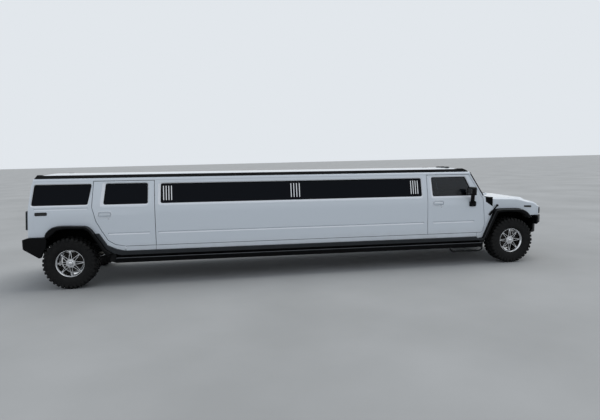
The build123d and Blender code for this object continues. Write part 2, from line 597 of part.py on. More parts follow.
BOARD_PLAN = [(-7420, 850), (-7370, 1012), (-620, 1012), (-575, 985), (-555, 850)]
with BuildPart() as running_boards:
    for side in (1, -1):
        cross_block([(side * 867, 600), (side * 879, 600), (side * 879, 418), (side * 1012, 418),
                     (side * 1012, 394), (side * 985, 388), (side * 965, 320), (side * 945, 320),
                     (side * 945, 394), (side * 867, 394)], -7420, -555)
        step = [(-7600, 600), (-7600, 418), (-7425, 418), (-7425, 455), (-7360, 500), (-7360, 600)]
        side_block(step, side * 860, side * 880, mode=Mode.SUBTRACT)
        side_block([(-600, 430), (-600, 600), (-400, 600), (-400, 430)], side * 860, side * 880,
                   mode=Mode.SUBTRACT)
    ends = Sketch() + [sketch_on(Plane.XY.offset(300), [(x, side * y) for x, y in BOARD_PLAN]) for side in (1, -1)]
    extrude(ends, amount=200, dir=(0, 0, 1), mode=Mode.INTERSECT)
save(running_boards, "running_boards")

# Engine with its gearbox, and the lines under the floor
with BuildPart() as engine:
    side_block([(250, 520), (250, 1080), (-560, 1080), (-560, 598), (-1500, 588), (-1500, 470), (-560, 470)],
               -160, 160)
    side_block([(250, 520), (250, 1080), (-560, 1080), (-560, 700), (-420, 520)], -330, 330)
save(engine, "engine")

with BuildPart() as driveshaft:
    rod((-1505, 0, 449), (X_REAR + 215, 0, Z_REAR + 4), 38)
    block((-1640, -1503), (-70, 70), (400, 485))
save(driveshaft, "driveshaft")

EXHAUST_RUN = [(-600, -250, 445), (-6800, -250, 445), (-7400, -590, 445), (-8580, -590, 445)]
with BuildPart() as exhaust:
    for start, end in zip(EXHAUST_RUN, EXHAUST_RUN[1:]):
        rod(start, end, 30)
    for joint in EXHAUST_RUN[1:-1]:
        with Locations(joint):
            Sphere(30)
    block((-5050, -4350), (-350, -150), (350, 478))
save(exhaust, "exhaust")

with BuildPart() as fuel_tank:
    block((-6900, -5700), (480, 840), (400, 590))
save(fuel_tank, "fuel_tank")

# Axles and suspension
with BuildPart() as rear_axle:
    rod((X_REAR, -795, Z_REAR), (X_REAR, 795, Z_REAR), 48)
    rod((X_REAR - 130, 0, Z_REAR), (X_REAR + 130, 0, Z_REAR), 125)
    rod((X_REAR + 125, 0, Z_REAR), (X_REAR + 210, 0, Z_REAR + 2), 60)
    for side in (1, -1):
        rod((X_REAR, side * 790, Z_REAR), (X_REAR, side * 885, Z_REAR), SPINDLE_R)
        rod((X_REAR, side * 822, Z_REAR), (X_REAR, side * 846, Z_REAR), 165)
        rod((X_REAR, side * 420, Z_REAR + 20), (X_REAR, side * 420, 479), 58)
        rod((X_REAR, side * 560, Z_REAR), (-7400, side * 490, 470), 24)
save(rear_axle, "rear_axle")

with BuildPart() as front_suspension:
    block((-120, 120), (-240, 240), (345, 475))
    for side in (1, -1):
        rod((0, side * 235, 425), (0, side * 728, Z_FRONT), 17)
        for z0, z1 in ((332, 356), (556, 580)):
            plan_block([(-150, side * 461), (-38, side * 728), (38, side * 728), (150, side * 461),
                        (90, side * 461), (0, side * 640), (-90, side * 461)], z0, z1)
save(front_suspension, "front_suspension")

# Cabin
with BuildPart() as front_seats:
    for side in (1, -1):
        block((-1500, -1100), (side * 260, side * 660), (FLOOR_TOP + 1, 730))
        side_block([(-1640, 720), (-1560, 880), (-1060, 905), (-1040, 730)], side * 200, side * 720, radius=30)
        side_block([(-1640, 730), (-1700, 1400), (-1610, 1410), (-1530, 860)], side * 210, side * 710, radius=25)
        side_block([(-1705, 1390), (-1712, 1570), (-1625, 1575), (-1615, 1390)], side * 350, side * 570, radius=20)
save(front_seats, "front_seats")

STEER_AT = (-1035, 430, 1195)
STEER_TILT = 28
steer_axis = Vector(-cos(radians(STEER_TILT)), 0, sin(radians(STEER_TILT)))
with BuildPart() as dashboard:
    side_block([(-644, 1030), (-644, 1300), (-740, 1318), (-905, 1262), (-935, 1160), (-880, 1030)], -860, 860,
               radius=14)
    start = Vector(*STEER_AT) - steer_axis * 190
    end = Vector(*STEER_AT) - steer_axis * 38
    rod(tuple(start), tuple(end), 30)
save(dashboard, "dashboard")

with BuildPart() as steering_wheel:
    with BuildSketch(Plane(origin=STEER_AT, x_dir=(0, 1, 0), z_dir=steer_axis)) as spokes:
        with Locations((0, -85)):
            Rectangle(40, 180)
        Rectangle(360, 40)
        Circle(60)
    extrude(spokes.sketch, amount=16, both=True)
    rim_at = (STEER_AT[0], STEER_AT[1] + 188, STEER_AT[2])
    with BuildSketch(Plane(origin=rim_at, x_dir=(0, 1, 0), z_dir=Vector(0, 1, 0).cross(steer_axis))) as grip:
        RegularPolygon(15, 10)
    revolve(grip.sketch, axis=Axis(STEER_AT, tuple(steer_axis)))
save(steering_wheel, "steering_wheel")

with BuildPart() as partition:
    cross_block(both([(868, FLOOR_TOP + 1), (868, 1290), (776, 1758)]), -1790, -1752)
    cross_block(both([(600, 1360), (600, 1660)]), -1800, -1740, mode=Mode.SUBTRACT)
save(partition, "partition")

with BuildPart() as lounge_seats:
    cross_block([(868, FLOOR_TOP + 1), (350, FLOOR_TOP + 1), (350, 1020), (700, 1020), (750, 1300), (868, 1300)],
                -6500, -1950, radius=20)
    side_block([(-8560, FLOOR_TOP + 1), (-7700, FLOOR_TOP + 1), (-7700, 1040), (-8230, 1040), (-8330, 1480),
                (-8470, 1480)], -680, 680, radius=20)
save(lounge_seats, "lounge_seats")

# Hood: one shell that carries the tops of the front fenders, tipping forwards at the nose
def hood_section(x, half, shoulder, dome, inset=0):
    """Closed outline across the hood at one station, set in by the skin where asked."""
    points = [(half - inset, 860), (half - inset, shoulder - 34), (half - 30 - inset * 0.7, shoulder - inset),
              (590, shoulder + 10 - inset), (470, dome - inset), (0, dome + 8 - inset)]
    mirrored = [(-y, z) for y, z in reversed(points[:-1])]
    return sketch_on(Plane.YZ.offset(x), points + mirrored)


HOOD_CAVITY_PLAN = [(694, 0), (678, 548), (584, 858), (545, 960), (-400, 960)]
with BuildPart() as hood:
    loft([hood_section(*row) for row in HOOD_SECTIONS], ruled=True)
    side_block(HOOD_SIDE, -1000, 1000, mode=Mode.INTERSECT)
    plan_block(both_plan(HOOD_FRONT_PLAN), 800, 1400, mode=Mode.INTERSECT)
    inner_rows = [(-380, *HOOD_SECTIONS[0][1:])] + HOOD_SECTIONS[1:]
    cavity = [hood_section(x, half, shoulder, dome, HOOD_SKIN) for x, half, shoulder, dome in inner_rows]
    hollow = loft(cavity, ruled=True, mode=Mode.PRIVATE)
    keep = sketch_on(Plane.XY.offset(700), both_plan(HOOD_CAVITY_PLAN))
    nose = extrude(keep, amount=700, dir=(0, 0, 1), mode=Mode.PRIVATE)
    add(hollow & nose, mode=Mode.SUBTRACT)
    for side in (1, -1):
        marker = [(318, 1072), (476, 1066), (470, 1098), (312, 1106)]
        side_block(marker, side * 880, side * 911)
        rod((STRAP[0][0], side * 905, STRAP[0][1]), (STRAP[0][0], side * (STRAP_Y[0] - 6), STRAP[0][1]), 15)
save(hood, "hood")

# Rubber straps that hold the hood down, each a flat band with a round pull at both ends
STRAP_HALF_W = 10
PULL_HALF_W = 21
with BuildPart() as hood_straps:
    (x0, z0), (x1, z1) = STRAP
    run = hypot(x1 - x0, z1 - z0)
    along = ((x1 - x0) / run, (z1 - z0) / run)
    half_widths = [(0, STRAP_HALF_W), (run - 92, STRAP_HALF_W), (run - 60, PULL_HALF_W), (run + 22, PULL_HALF_W)]
    band = []
    for hand in (1, -1):
        edge = [(x0 + along[0] * u - hand * along[1] * w, z0 + along[1] * u + hand * along[0] * w)
                for u, w in half_widths]
        band += edge if hand == 1 else reversed(edge)
    for side in (1, -1):
        side_block(band, side * STRAP_Y[0], side * STRAP_Y[1])
        rod((x0, side * STRAP_Y[0], z0), (x0, side * (STRAP_Y[1] + 6), z0), 22)
        rod((x1, side * STRAP_Y[0], z1), (x1, side * (STRAP_Y[1] + 6), z1), 16)
save(hood_straps, "hood_straps")

# Doors, their glass and the mirrors
DOOR_TABLE = [
    # place, outline, window, creases, handle, border
    ("front", FRONT_DOOR, FRONT_DOOR_WINDOW, [(-1598, -751, 838)], FRONT_HANDLE, BORDER),
    ("rear", REAR_DOOR, REAR_DOOR_WINDOW, [(-7488, -6796, 838)], REAR_HANDLE, REAR_DOOR_BORDER),
]
for place, outline, window, creases, handle, border in DOOR_TABLE:
    for side, hand in ((1, "left"), (-1, "right")):
        skin = wall(side, outline, window, DOOR_IN, creases, handle, border)
        with BuildPart() as door:
            add(skin)
        save(door, place + "_door_" + hand)
        glass = pane(side, window)
        with BuildPart() as door_glass:
            add(glass)
        save(door_glass, place + "_door_glass_" + hand)

MIRROR_HEAD = [(1000, 1341), (1190, 1350), (1194, 1494), (1004, 1501)]
MIRROR_PLAN = [(-940, 990), (-940, 1200), (-896, 1200), (-840, 1172), (-828, 1130), (-828, 1040), (-848, 990)]
for side, hand in ((1, "left"), (-1, "right")):
    with BuildPart() as mirror:
        cross_block([(side * y, z) for y, z in MIRROR_HEAD], -940, -828, radius=26)
        plan_block([(x, side * y) for x, y in MIRROR_PLAN], 1300, 1520, mode=Mode.INTERSECT)
        glass = [(side * 1020, 1362), (side * 1174, 1370), (side * 1176, 1478), (side * 1022, 1483)]
        cross_block(glass, -945, -934, mode=Mode.SUBTRACT, radius=16)
        side_block([(-863, 1118), (-732, 1118), (-732, 1218), (-863, 1218)], side * 947.5, side * 972, radius=22)
        foot = sketch_on(Plane.XY.offset(1190), [(-838, side * 950), (-768, side * 950), (-768, side * 972),
                                                 (-838, side * 972)])
        neck = sketch_on(Plane.XY.offset(1352), [(-886, side * 1040), (-836, side * 1040), (-836, side * 1100),
                                                 (-886, side * 1100)])
        add(loft([foot.face(), neck.face()], ruled=True, mode=Mode.PRIVATE))
    save(mirror, "mirror_" + hand)

# Liftgate
GATE_GAP = 8
GATE = [(690 - GATE_GAP, 850 + GATE_GAP), (690 - GATE_GAP, 1300), (640 - GATE_GAP, 1694 - GATE_GAP)]
GATE_WINDOW = [(575, 1345), (548, 1630)]
with BuildPart() as liftgate:
    cross_block(both(GATE), -8800, -8500)
    side_block(tail_band(811, Z_ROOF_LOW, 0, 60), -960, 960, mode=Mode.INTERSECT)
    cross_block(both(GATE_WINDOW), -8800, -8500, mode=Mode.SUBTRACT, radius=30)
    side_block(tail_band(930, 1090, -9, 14), -290, 290, mode=Mode.SUBTRACT)
    side_block(tail_band(1112, 1150, -20, 10), -170, 170)
save(liftgate, "liftgate")

with BuildPart() as liftgate_glass:
    face = offset(sketch_on(Plane.YZ.offset(-8800), both(GATE_WINDOW), 30), amount=-1, kind=Kind.INTERSECTION)
    extrude(face, amount=300, dir=(1, 0, 0))
    side_block(tail_band(811, Z_ROOF_LOW, 10, 16), -960, 960, mode=Mode.INTERSECT)
save(liftgate_glass, "liftgate_glass")

# Steering knuckles, upright whatever the body's rake
for side, hand in ((1, "left"), (-1, "right")):
    with BuildPart() as knuckle:
        block((-38, 38), (side * 752, side * 800), (308, 600))
        rod((0, side * 795, Z_FRONT), (0, side * 885, Z_FRONT), SPINDLE_R)
        rod((0, side * 822, Z_FRONT), (0, side * 846, Z_FRONT), 165)
    save(knuckle, "knuckle_" + hand, UPRIGHT_TO_ROW)


# Wheels
def ring(points):
    """Solid of revolution about the axle line, from points of radius and distance out."""
    with BuildSketch(Plane.XY) as section:
        with BuildLine():
            Polyline(*points, close=True)
        make_face()
    revolve(section.sketch, axis=Axis.Y)


def around(radius, degrees_round):
    """Point on a circle about the axle line."""
    return (radius * cos(radians(degrees_round)), radius * sin(radians(degrees_round)))


def across_spoke(i, r, across):
    """Point on spoke i, at a radius and a distance to one side of its middle line."""
    x, z = around(1, 360 * i / SPOKES)
    return (r * x - across * z, r * z + across * x)


def many_sided(radius, y):
    """Corners of a regular outline about the axle line, at a distance out."""
    step = 360 / TYRE_SIDES
    corners = [around(radius / cos(radians(step / 2)), step * (i + 0.5)) for i in range(TYRE_SIDES)]
    return [(x, y, z) for x, z in corners]


def lug_outline(scale, y):
    """Corners of the tread at a distance out, with every lug standing out from the foot circle."""
    step = 360 / LUGS
    tip = TYRE_R / cos(radians(0.3 * step))
    shares = ((-0.3, tip), (0.3, tip), (0.37, LUG_FOOT_R), (0.63, LUG_FOOT_R))
    corners = [around(scale * r, step * (i + share)) for i in range(LUGS) for share, r in shares]
    return [(x, y, z) for x, z in corners]


def flat_faced(rings):
    """Solid with flat faces between rings of as many corners each."""
    faces = [Face(Wire.make_polygon(rings[0])), Face(Wire.make_polygon(rings[-1]))]
    for near, far in zip(rings, rings[1:]):
        for i in range(len(near)):
            j = (i + 1) % len(near)
            faces.append(Face(Wire.make_polygon([near[i], near[j], far[j], far[i]])))
    return Solid(Shell(faces))


with BuildPart() as rim:
    ring(RIM_PROFILE)
    for i in range(SPOKES):
        turned = []
        for r, across in SPOKE:
            turned.append(across_spoke(i, r, across))
        side_block(turned, SPOKE_Y[0], SPOKE_Y[1])
    for i in range(SPOKES):
        opening = [across_spoke(i, r, across) for r, across in SPOKE_WINDOW]
        side_block(opening, SPOKE_Y[0] - 5, SPOKE_Y[1] + 5, mode=Mode.SUBTRACT)
    rod((0, -20, 0), (0, 84, 0), 62)
    rod((0, 84, 0), (0, 100, 0), 50)
    for i in range(LUG_NUTS):
        x, z = around(NUT_CIRCLE, 360 * (i + 0.5) / LUG_NUTS)
        rod((x, 100, z), (x, 104, z), 7)
    rod((0, -100, 0), (0, 20, 0), SPINDLE_R + BEARING_PLAY, mode=Mode.SUBTRACT)

with BuildPart() as tyre:
    rings = [lug_outline(scale, -y) for y, scale in reversed(SHOULDER)]
    rings += [lug_outline(scale, y) for y, scale in SHOULDER]
    add(flat_faced(rings))
    for side in (1, -1):
        cut = [many_sided(r, side * y) for y, r in SIDEWALL_CUT]
        add(flat_faced(cut), mode=Mode.SUBTRACT)
    add(flat_faced([many_sided(BORE_R, -160), many_sided(BORE_R, 160)]), mode=Mode.SUBTRACT)

for end, x in (("front", 0), ("rear", -WHEELBASE)):
    for side, hand in ((1, "left"), (-1, "right")):
        turn = 0 if side == 1 else 180
        at = UPRIGHT_TO_ROW * Location((x, side * WHEEL_Y, TYRE_R)) * Rotation(0, 0, turn)
        save(rim, end + "_rim_" + hand, at)
        save(tyre, end + "_tyre_" + hand, at)
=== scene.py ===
# %% [markdown]
# # Stretch limousine
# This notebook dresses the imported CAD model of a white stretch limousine: a boxy off-road wagon that was
# lengthened by five metres between its doors. The CAD pieces come in as a fixed frame, in metres, with +X
# forward, +Y to the car's left and +Z up. Everything made here is placed by that frame, so nothing is fitted
# by eye afterwards.

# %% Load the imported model
import json
from math import cos, pi, radians, sin, tan

import bmesh
import bpy
from mathutils import Matrix, Vector

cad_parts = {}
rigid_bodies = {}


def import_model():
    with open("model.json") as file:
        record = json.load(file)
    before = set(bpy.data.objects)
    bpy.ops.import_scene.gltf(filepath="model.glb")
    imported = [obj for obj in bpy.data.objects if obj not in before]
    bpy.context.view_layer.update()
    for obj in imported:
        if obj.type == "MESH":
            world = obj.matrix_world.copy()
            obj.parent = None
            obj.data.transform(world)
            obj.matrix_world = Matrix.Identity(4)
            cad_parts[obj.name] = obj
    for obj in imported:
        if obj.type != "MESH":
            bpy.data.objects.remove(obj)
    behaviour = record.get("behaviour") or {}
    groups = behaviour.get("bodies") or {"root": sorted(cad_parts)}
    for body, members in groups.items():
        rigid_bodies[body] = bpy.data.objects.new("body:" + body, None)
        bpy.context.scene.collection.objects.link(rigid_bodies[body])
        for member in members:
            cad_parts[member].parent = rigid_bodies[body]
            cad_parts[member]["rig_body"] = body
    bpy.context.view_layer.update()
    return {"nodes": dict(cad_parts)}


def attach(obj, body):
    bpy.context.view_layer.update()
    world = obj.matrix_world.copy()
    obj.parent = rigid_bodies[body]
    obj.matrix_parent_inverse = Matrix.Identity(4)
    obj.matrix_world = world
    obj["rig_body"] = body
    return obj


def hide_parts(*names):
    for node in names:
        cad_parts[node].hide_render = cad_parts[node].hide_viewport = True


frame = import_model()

NODE = frame["nodes"]
BODY_OF = {name: obj["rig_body"] for name, obj in NODE.items()}
FRONT_AXLE_X = 3.990
REAR_AXLE_X = FRONT_AXLE_X - 8.120
AXLE_Z = 0.436
WHEEL_Y = 0.8815
NOSE_DOWN = radians(0.6)


def at(x, y, z):
    """Place in metres of a point of the level body frame: millimetres ahead of the front axle, left, up."""
    x, y, z = x / 1000, y / 1000, z / 1000 - AXLE_Z
    return Vector((FRONT_AXLE_X + x * cos(NOSE_DOWN) + z * sin(NOSE_DOWN), y,
                   AXLE_Z - x * sin(NOSE_DOWN) + z * cos(NOSE_DOWN)))


def level_of(point):
    """The opposite of at(): level millimetres of a point in metres."""
    ahead_by, above = point.x - FRONT_AXLE_X, point.z - AXLE_Z
    return (1000 * (ahead_by * cos(NOSE_DOWN) - above * sin(NOSE_DOWN)), 1000 * point.y,
            1000 * (AXLE_Z + ahead_by * sin(NOSE_DOWN) + above * cos(NOSE_DOWN)))


# %% [markdown]
# ## Camera
# The photo was taken 9 m from the car's right side and 2.1 m up. A camera fitted to some forty points of the
# car gives its place, its heading and the lens. The matrix below is built from heading, pitch and roll in
# turn, which keeps each of the three numbers readable.

# %% Camera at the photo's viewpoint
CAMERA_AT = Vector((-1.412, -9.1715, 2.0861))
HEADING, PITCH, ROLL = radians(8.6535), radians(-6.1598), radians(-1.3503)
LENS_MM, SENSOR_MM = 27.64, 36.0

ahead = Vector((sin(HEADING) * cos(PITCH), cos(HEADING) * cos(PITCH), sin(PITCH)))
level_right = Vector((cos(HEADING), -sin(HEADING), 0))
level_up = level_right.cross(ahead)
image_right = level_right * cos(ROLL) + level_up * sin(ROLL)
image_up = level_up * cos(ROLL) - level_right * sin(ROLL)
lens = bpy.data.cameras.new("photo_camera")
lens.lens, lens.sensor_width, lens.sensor_fit = LENS_MM, SENSOR_MM, "HORIZONTAL"
lens.clip_end = 2000
camera = bpy.data.objects.new("photo_camera", lens)
camera.matrix_world = Matrix((
    (image_right.x, image_up.x, -ahead.x, CAMERA_AT.x),
    (image_right.y, image_up.y, -ahead.y, CAMERA_AT.y),
    (image_right.z, image_up.z, -ahead.z, CAMERA_AT.z),
    (0, 0, 0, 1)))
bpy.context.scene.collection.objects.link(camera)
bpy.context.scene.camera = camera
print("camera at", [round(c, 2) for c in CAMERA_AT], "with a lens of", LENS_MM, "mm")


# %% [markdown]
# ## Colours, nodes and materials
# Colours are written as sRGB hex, as a picture editor shows them, and one function turns them to the linear
# values that the shader needs. One small function adds a node with its settings and links.

# %% Helpers for materials
def linear(hex_colour):
    """Linear RGBA of an sRGB hex colour."""
    parts = [int(hex_colour[i:i + 2], 16) / 255 for i in (1, 3, 5)]
    return tuple(c / 12.92 if c <= 0.04045 else ((c + 0.055) / 1.055) ** 2.4 for c in parts) + (1.0,)


def add_node(tree, kind, values=None, links=None, **settings):
    """Node of one kind, with its socket values, its links and its settings."""
    node = tree.nodes.new(kind)
    for name, value in settings.items():
        setattr(node, name, value)
    for socket, value in (values or {}).items():
        node.inputs[socket].default_value = value
    for socket, source in (links or {}).items():
        tree.links.new(source, node.inputs[socket])
    return node


def new_material(name, values):
    """Material with a Principled shader set to some values, with its node tree and object coordinates."""
    material = bpy.data.materials.new(name)
    material.use_nodes = True
    tree = material.node_tree
    tree.nodes.clear()
    shader = add_node(tree, "ShaderNodeBsdfPrincipled", values)
    add_node(tree, "ShaderNodeOutputMaterial", links={"Surface": shader.outputs[0]})
    place = add_node(tree, "ShaderNodeTexCoord").outputs["Object"]
    return material, tree, shader, place


def patchy(tree, place, size_mm, low, high, socket, detail=4.0, sharp=(0.35, 0.65)):
    """Colour or value that wanders between two ends, in patches of about one size."""
    noise = add_node(tree, "ShaderNodeTexNoise", {"Scale": 1000 / size_mm, "Detail": detail},
                     {"Vector": place})
    ramp = add_node(tree, "ShaderNodeValToRGB", links={"Fac": noise.outputs[0]})
    for end, position, colour in zip(ramp.color_ramp.elements, sharp, (low, high)):
        end.position = position
        end.color = colour
    if socket is not None:
        tree.links.new(ramp.outputs[0], socket)
    return ramp.outputs[0]


def grey(value):
    """The same number in all three colours, for a roughness or a share."""
    return (value, value, value, 1.0)


def rough_surface(tree, place, shader, size_mm, depth_mm, strength=1.0, kind="ShaderNodeTexNoise"):
    """Relief of a given grain size and depth on the shader's normal."""
    pattern = add_node(tree, kind, {"Scale": 1000 / size_mm}, {"Vector": place})
    height = pattern.outputs["Distance"] if kind == "ShaderNodeTexVoronoi" else pattern.outputs[0]
    bump = add_node(tree, "ShaderNodeBump", {"Strength": strength, "Distance": depth_mm / 1000},
                    {"Height": height})
    tree.links.new(bump.outputs[0], shader.inputs["Normal"])


# %% [markdown]
# The body is painted steel: white base coat under a clear lacquer, sprayed and baked. The lacquer is the
# Coat of the Principled shader. A film of road dust dulls the lowest hand's breadth of the doors.

# %% White lacquered paint
DUST_TOP, DUST_FOOT = 0.75, 0.48


def lacquered_paint(name, colour, dusty):
    """White base coat under a clear lacquer, with a film of dust low down."""
    material, tree, shader, place = new_material(name, {
        "Roughness": 0.38, "IOR": 1.5, "Coat Weight": 1.0, "Coat Roughness": 0.04, "Coat IOR": 1.5})
    height = add_node(tree, "ShaderNodeSeparateXYZ", links={"Vector": place})
    low_down = add_node(tree, "ShaderNodeMapRange",
                        {"From Min": DUST_TOP, "From Max": DUST_FOOT, "To Min": 0.0, "To Max": 0.5},
                        {"Value": height.outputs["Z"]})
    specks = patchy(tree, place, 160, grey(0.25), grey(1.0), None, 6.0, (0.3, 0.75))
    film = add_node(tree, "ShaderNodeMath", links={0: low_down.outputs[0], 1: specks}, operation="MULTIPLY")
    mixed = add_node(tree, "ShaderNodeMix", {"A": linear(colour), "B": linear(dusty)},
                     {"Factor": film.outputs[0]}, data_type="RGBA")
    tree.links.new(mixed.outputs[2], shader.inputs["Base Color"])
    rough_surface(tree, place, shader, 9, 0.02, 0.15)
    return material


white_paint = lacquered_paint("white_lacquered_paint", "#E2E8EC", "#B3AFA8")
# A brighter white than the body's own paint, used on the window borders, the swage flanks and the handle
# rings: a painted highlight where those faces catch the sky.
highlight_white_paint = lacquered_paint("white_paint_brightened_as_painted_highlight", "#F7F9FB", "#D9D8D4")


# %% [markdown]
# Flares, bumpers, cladding and mirrors are moulded black plastic with a fine leather-like grain. The real
# grain is under a millimetre, so it is drawn at 3 mm to show, and patches have faded a little in the sun.
# The wheel arches are lined with a coarse dull felt, drawn with tufts of 9 mm.

# %% Moulded black plastic, rubber and trim
def moulded_plastic(name, fresh, faded, roughness, specular, grain_mm=3.0):
    """Plastic or rubber from a grained mould, between a fresh and a faded colour."""
    material, tree, shader, place = new_material(name, {"Roughness": roughness, "IOR": 1.47,
                                                        "Specular IOR Level": specular})
    patchy(tree, place, 240, linear(fresh), linear(faded), shader.inputs["Base Color"], 5.0, (0.3, 0.8))
    rough_surface(tree, place, shader, grain_mm, 0.25, 0.35, "ShaderNodeTexVoronoi")
    return material


black_plastic = moulded_plastic("grained_black_plastic", "#060607", "#0D0E0F", 0.42, 0.12)
cabin_plastic = moulded_plastic("moulded_cabin_plastic", "#1E1E21", "#28282B", 0.62, 0.3)
gloss_black = moulded_plastic("gloss_black_plastic", "#050607", "#090A0B", 0.2, 0.25)
satin_plastic = moulded_plastic("satin_grey_black_plastic", "#1D2023", "#272A2D", 0.4, 0.35)
seal_rubber = moulded_plastic("seal_rubber", "#0A0A0B", "#121213", 0.7, 0.2)
liner_felt = moulded_plastic("wheel_arch_liner", "#050505", "#0A0A0A", 0.95, 0.05, 9.0)

# %% [markdown]
# Tyre rubber is carbon black in rubber, matt and a little brown where road dust sits in it.

# %% Tyre rubber
tyre_rubber, tree, shader, place = new_material("tyre_rubber", {"Roughness": 0.7, "IOR": 1.45,
                                                                "Specular IOR Level": 0.3})
patchy(tree, place, 60, linear("#080809"), linear("#181716"), shader.inputs["Base Color"], 6.0,
       (0.35, 0.85))
rough_surface(tree, place, shader, 4, 0.3, 0.4)

# %% [markdown]
# Metals: chrome plate on the rims and window bars, enamelled steel on the chassis, cast iron on axles and
# knuckles, and aluminised steel on the exhaust. A metal keeps the default index of refraction: its colour
# says how it reflects.

# %% Metals
chrome_plate, tree, shader, place = new_material("chrome_plate", {"Base Color": linear("#DEDFE1"),
                                                                  "Metallic": 1.0})
patchy(tree, place, 45, grey(0.05), grey(0.12), shader.inputs["Roughness"], 4.0)

chassis_enamel, tree, shader, place = new_material("chassis_enamel", {"Roughness": 0.6})
patchy(tree, place, 130, linear("#141415"), linear("#2B2926"), shader.inputs["Base Color"], 7.0,
       (0.4, 0.8))
rough_surface(tree, place, shader, 14, 0.4, 0.4)

cast_iron, tree, shader, place = new_material("cast_iron", {"Metallic": 0.85, "Roughness": 0.62})
patchy(tree, place, 90, linear("#2E2D2C"), linear("#4A4642"), shader.inputs["Base Color"], 8.0)
rough_surface(tree, place, shader, 5, 0.5, 0.6)

aluminised_steel, tree, shader, place = new_material("aluminised_steel", {"Metallic": 1.0,
                                                                          "Roughness": 0.42})
patchy(tree, place, 220, linear("#77736C"), linear("#9A9891"), shader.inputs["Base Color"], 6.0)

# %% [markdown]
# Glass. The lounge and the rear doors have privacy glass, tinted nearly black in the melt, so from outside
# it is a dark mirror. Its base colour is lifted a little towards blue, which is partly its tint and partly a
# painted reflection of the sky. The front doors and the windscreen have tinted clear glass. A faint
# waviness bends what it reflects, as rolled glass does. Lamp covers are clear polycarbonate and lenses are
# moulded acrylic.

# %% Glass and lamp lenses
def glazing(name, colour, transmission, specular=0.5):
    """Smooth glass of a tint, from 0, dark right through, to 1, clear."""
    material, tree, shader, place = new_material(name, {
        "Base Color": linear(colour), "Transmission Weight": transmission, "IOR": 1.45,
        "Roughness": 0.015, "Specular IOR Level": specular})
    rough_surface(tree, place, shader, 420, 0.6, 0.12)
    return material


# Privacy glass: a blue-black base colour, partly its tint and partly a painted reflection of the sky.
privacy_glass = glazing("privacy_glass", "#0A0E15", 0.0, 0.09)
clear_glass = glazing("tinted_clear_glass", "#434E57", 0.94, 0.2)
lamp_cover = glazing("polycarbonate_lens", "#F3F6F8", 0.97)


def coloured_lens(name, colour, deep):
    """Moulded acrylic lens with the small prisms that spread its light."""
    material, tree, shader, place = new_material(name, {"Roughness": 0.12, "IOR": 1.49,
                                                        "Specular IOR Level": 0.3, "Coat Weight": 0.2})
    patchy(tree, place, 30, linear(colour), linear(deep), shader.inputs["Base Color"], 2.0)
    rough_surface(tree, place, shader, 8, 0.8, 0.25, "ShaderNodeTexVoronoi")
    return material


red_acrylic = coloured_lens("red_acrylic", "#98090C", "#6E0507")
smoked_acrylic = coloured_lens("smoked_acrylic", "#0A0A0B", "#050505")
grey_acrylic = coloured_lens("grey_acrylic", "#4C5258", "#3C4146")

# %% [markdown]
# Black leather on the seats: a pebbled grain from a Voronoi pattern, and a polish that wears unevenly. The
# real pebbles are about 1 mm, and are drawn at 3 mm so that they show.

# %% Leather
black_leather, tree, shader, place = new_material("black_leather", {"IOR": 1.47, "Sheen Weight": 0.08})
patchy(tree, place, 110, linear("#161515"), linear("#211F1E"), shader.inputs["Base Color"], 5.0)
patchy(tree, place, 70, grey(0.38), grey(0.55), shader.inputs["Roughness"], 3.0)
rough_surface(tree, place, shader, 3.0, 0.35, 0.6, "ShaderNodeTexVoronoi")
print("materials", len(bpy.data.materials))

# %% [markdown]
# ## Floor, light and backdrop
# The car stands on a plain pale floor under an overcast studio sky. A wide soft sun from above and behind
# the car lights the roof and the top edges, and leaves the side that faces the camera in even shade, as in
# the photo. The world gives a plain bluish light, while camera, mirror and glass rays see a pale backdrop.

# %% Floor and lights
floor_mesh = bpy.data.meshes.new("studio_floor")
bm = bmesh.new()
bmesh.ops.create_grid(bm, x_segments=2, y_segments=2, size=500)
bm.to_mesh(floor_mesh)
bm.free()
floor_obj = bpy.data.objects.new("studio_floor", floor_mesh)
bpy.context.scene.collection.objects.link(floor_obj)
concrete, tree, shader, place = new_material("pale_floor", {"Roughness": 0.9})
patchy(tree, place, 2600, linear("#A9A9A6"), linear("#B5B5B2"), shader.inputs["Base Color"], 6.0)
floor_mesh.materials.append(concrete)

sun = bpy.data.lights.new("soft_sun", "SUN")
sun.energy, sun.angle, sun.color = 1.05, radians(50), (1.0, 0.985, 0.96)
sun_obj = bpy.data.objects.new("soft_sun", sun)
sun_obj.rotation_euler = (radians(-14), radians(30), 0)
bpy.context.scene.collection.objects.link(sun_obj)

world = bpy.data.worlds.new("overcast_studio")
bpy.context.scene.world = world
world.use_nodes = True
tree = world.node_tree
tree.nodes.clear()
rays = add_node(tree, "ShaderNodeLightPath")
mirrored_or_seen = add_node(tree, "ShaderNodeMath", operation="MAXIMUM",
                            links={0: rays.outputs["Is Camera Ray"], 1: rays.outputs["Is Glossy Ray"]})
seen = add_node(tree, "ShaderNodeMath", operation="MAXIMUM",
                links={0: mirrored_or_seen.outputs[0], 1: rays.outputs["Is Transmission Ray"]})
light_sky = add_node(tree, "ShaderNodeBackground", {"Color": linear("#E8F1FF"), "Strength": 0.65})
backdrop = add_node(tree, "ShaderNodeBackground", {"Color": linear("#E2E7EC"), "Strength": 1.0})
both_skies = add_node(tree, "ShaderNodeMixShader",
                      links={0: seen.outputs[0], 1: light_sky.outputs[0], 2: backdrop.outputs[0]})
add_node(tree, "ShaderNodeOutputWorld", links={"Surface": both_skies.outputs[0]})
bpy.context.scene.view_settings.view_transform = "Standard"


# %% [markdown]
# ## Dressing the CAD pieces
# A CAD mesh is loose triangles with knife-sharp edges. Real sheet metal and mouldings have rounded edges,
# and those catch the light. So each visible piece is a merged copy of its CAD node with its edges bevelled,
# and its normals weighted by face area, which keeps the large faces flat. The copy rides on the same body
# and replaces the node. Hidden pieces keep their CAD mesh and only get a material.


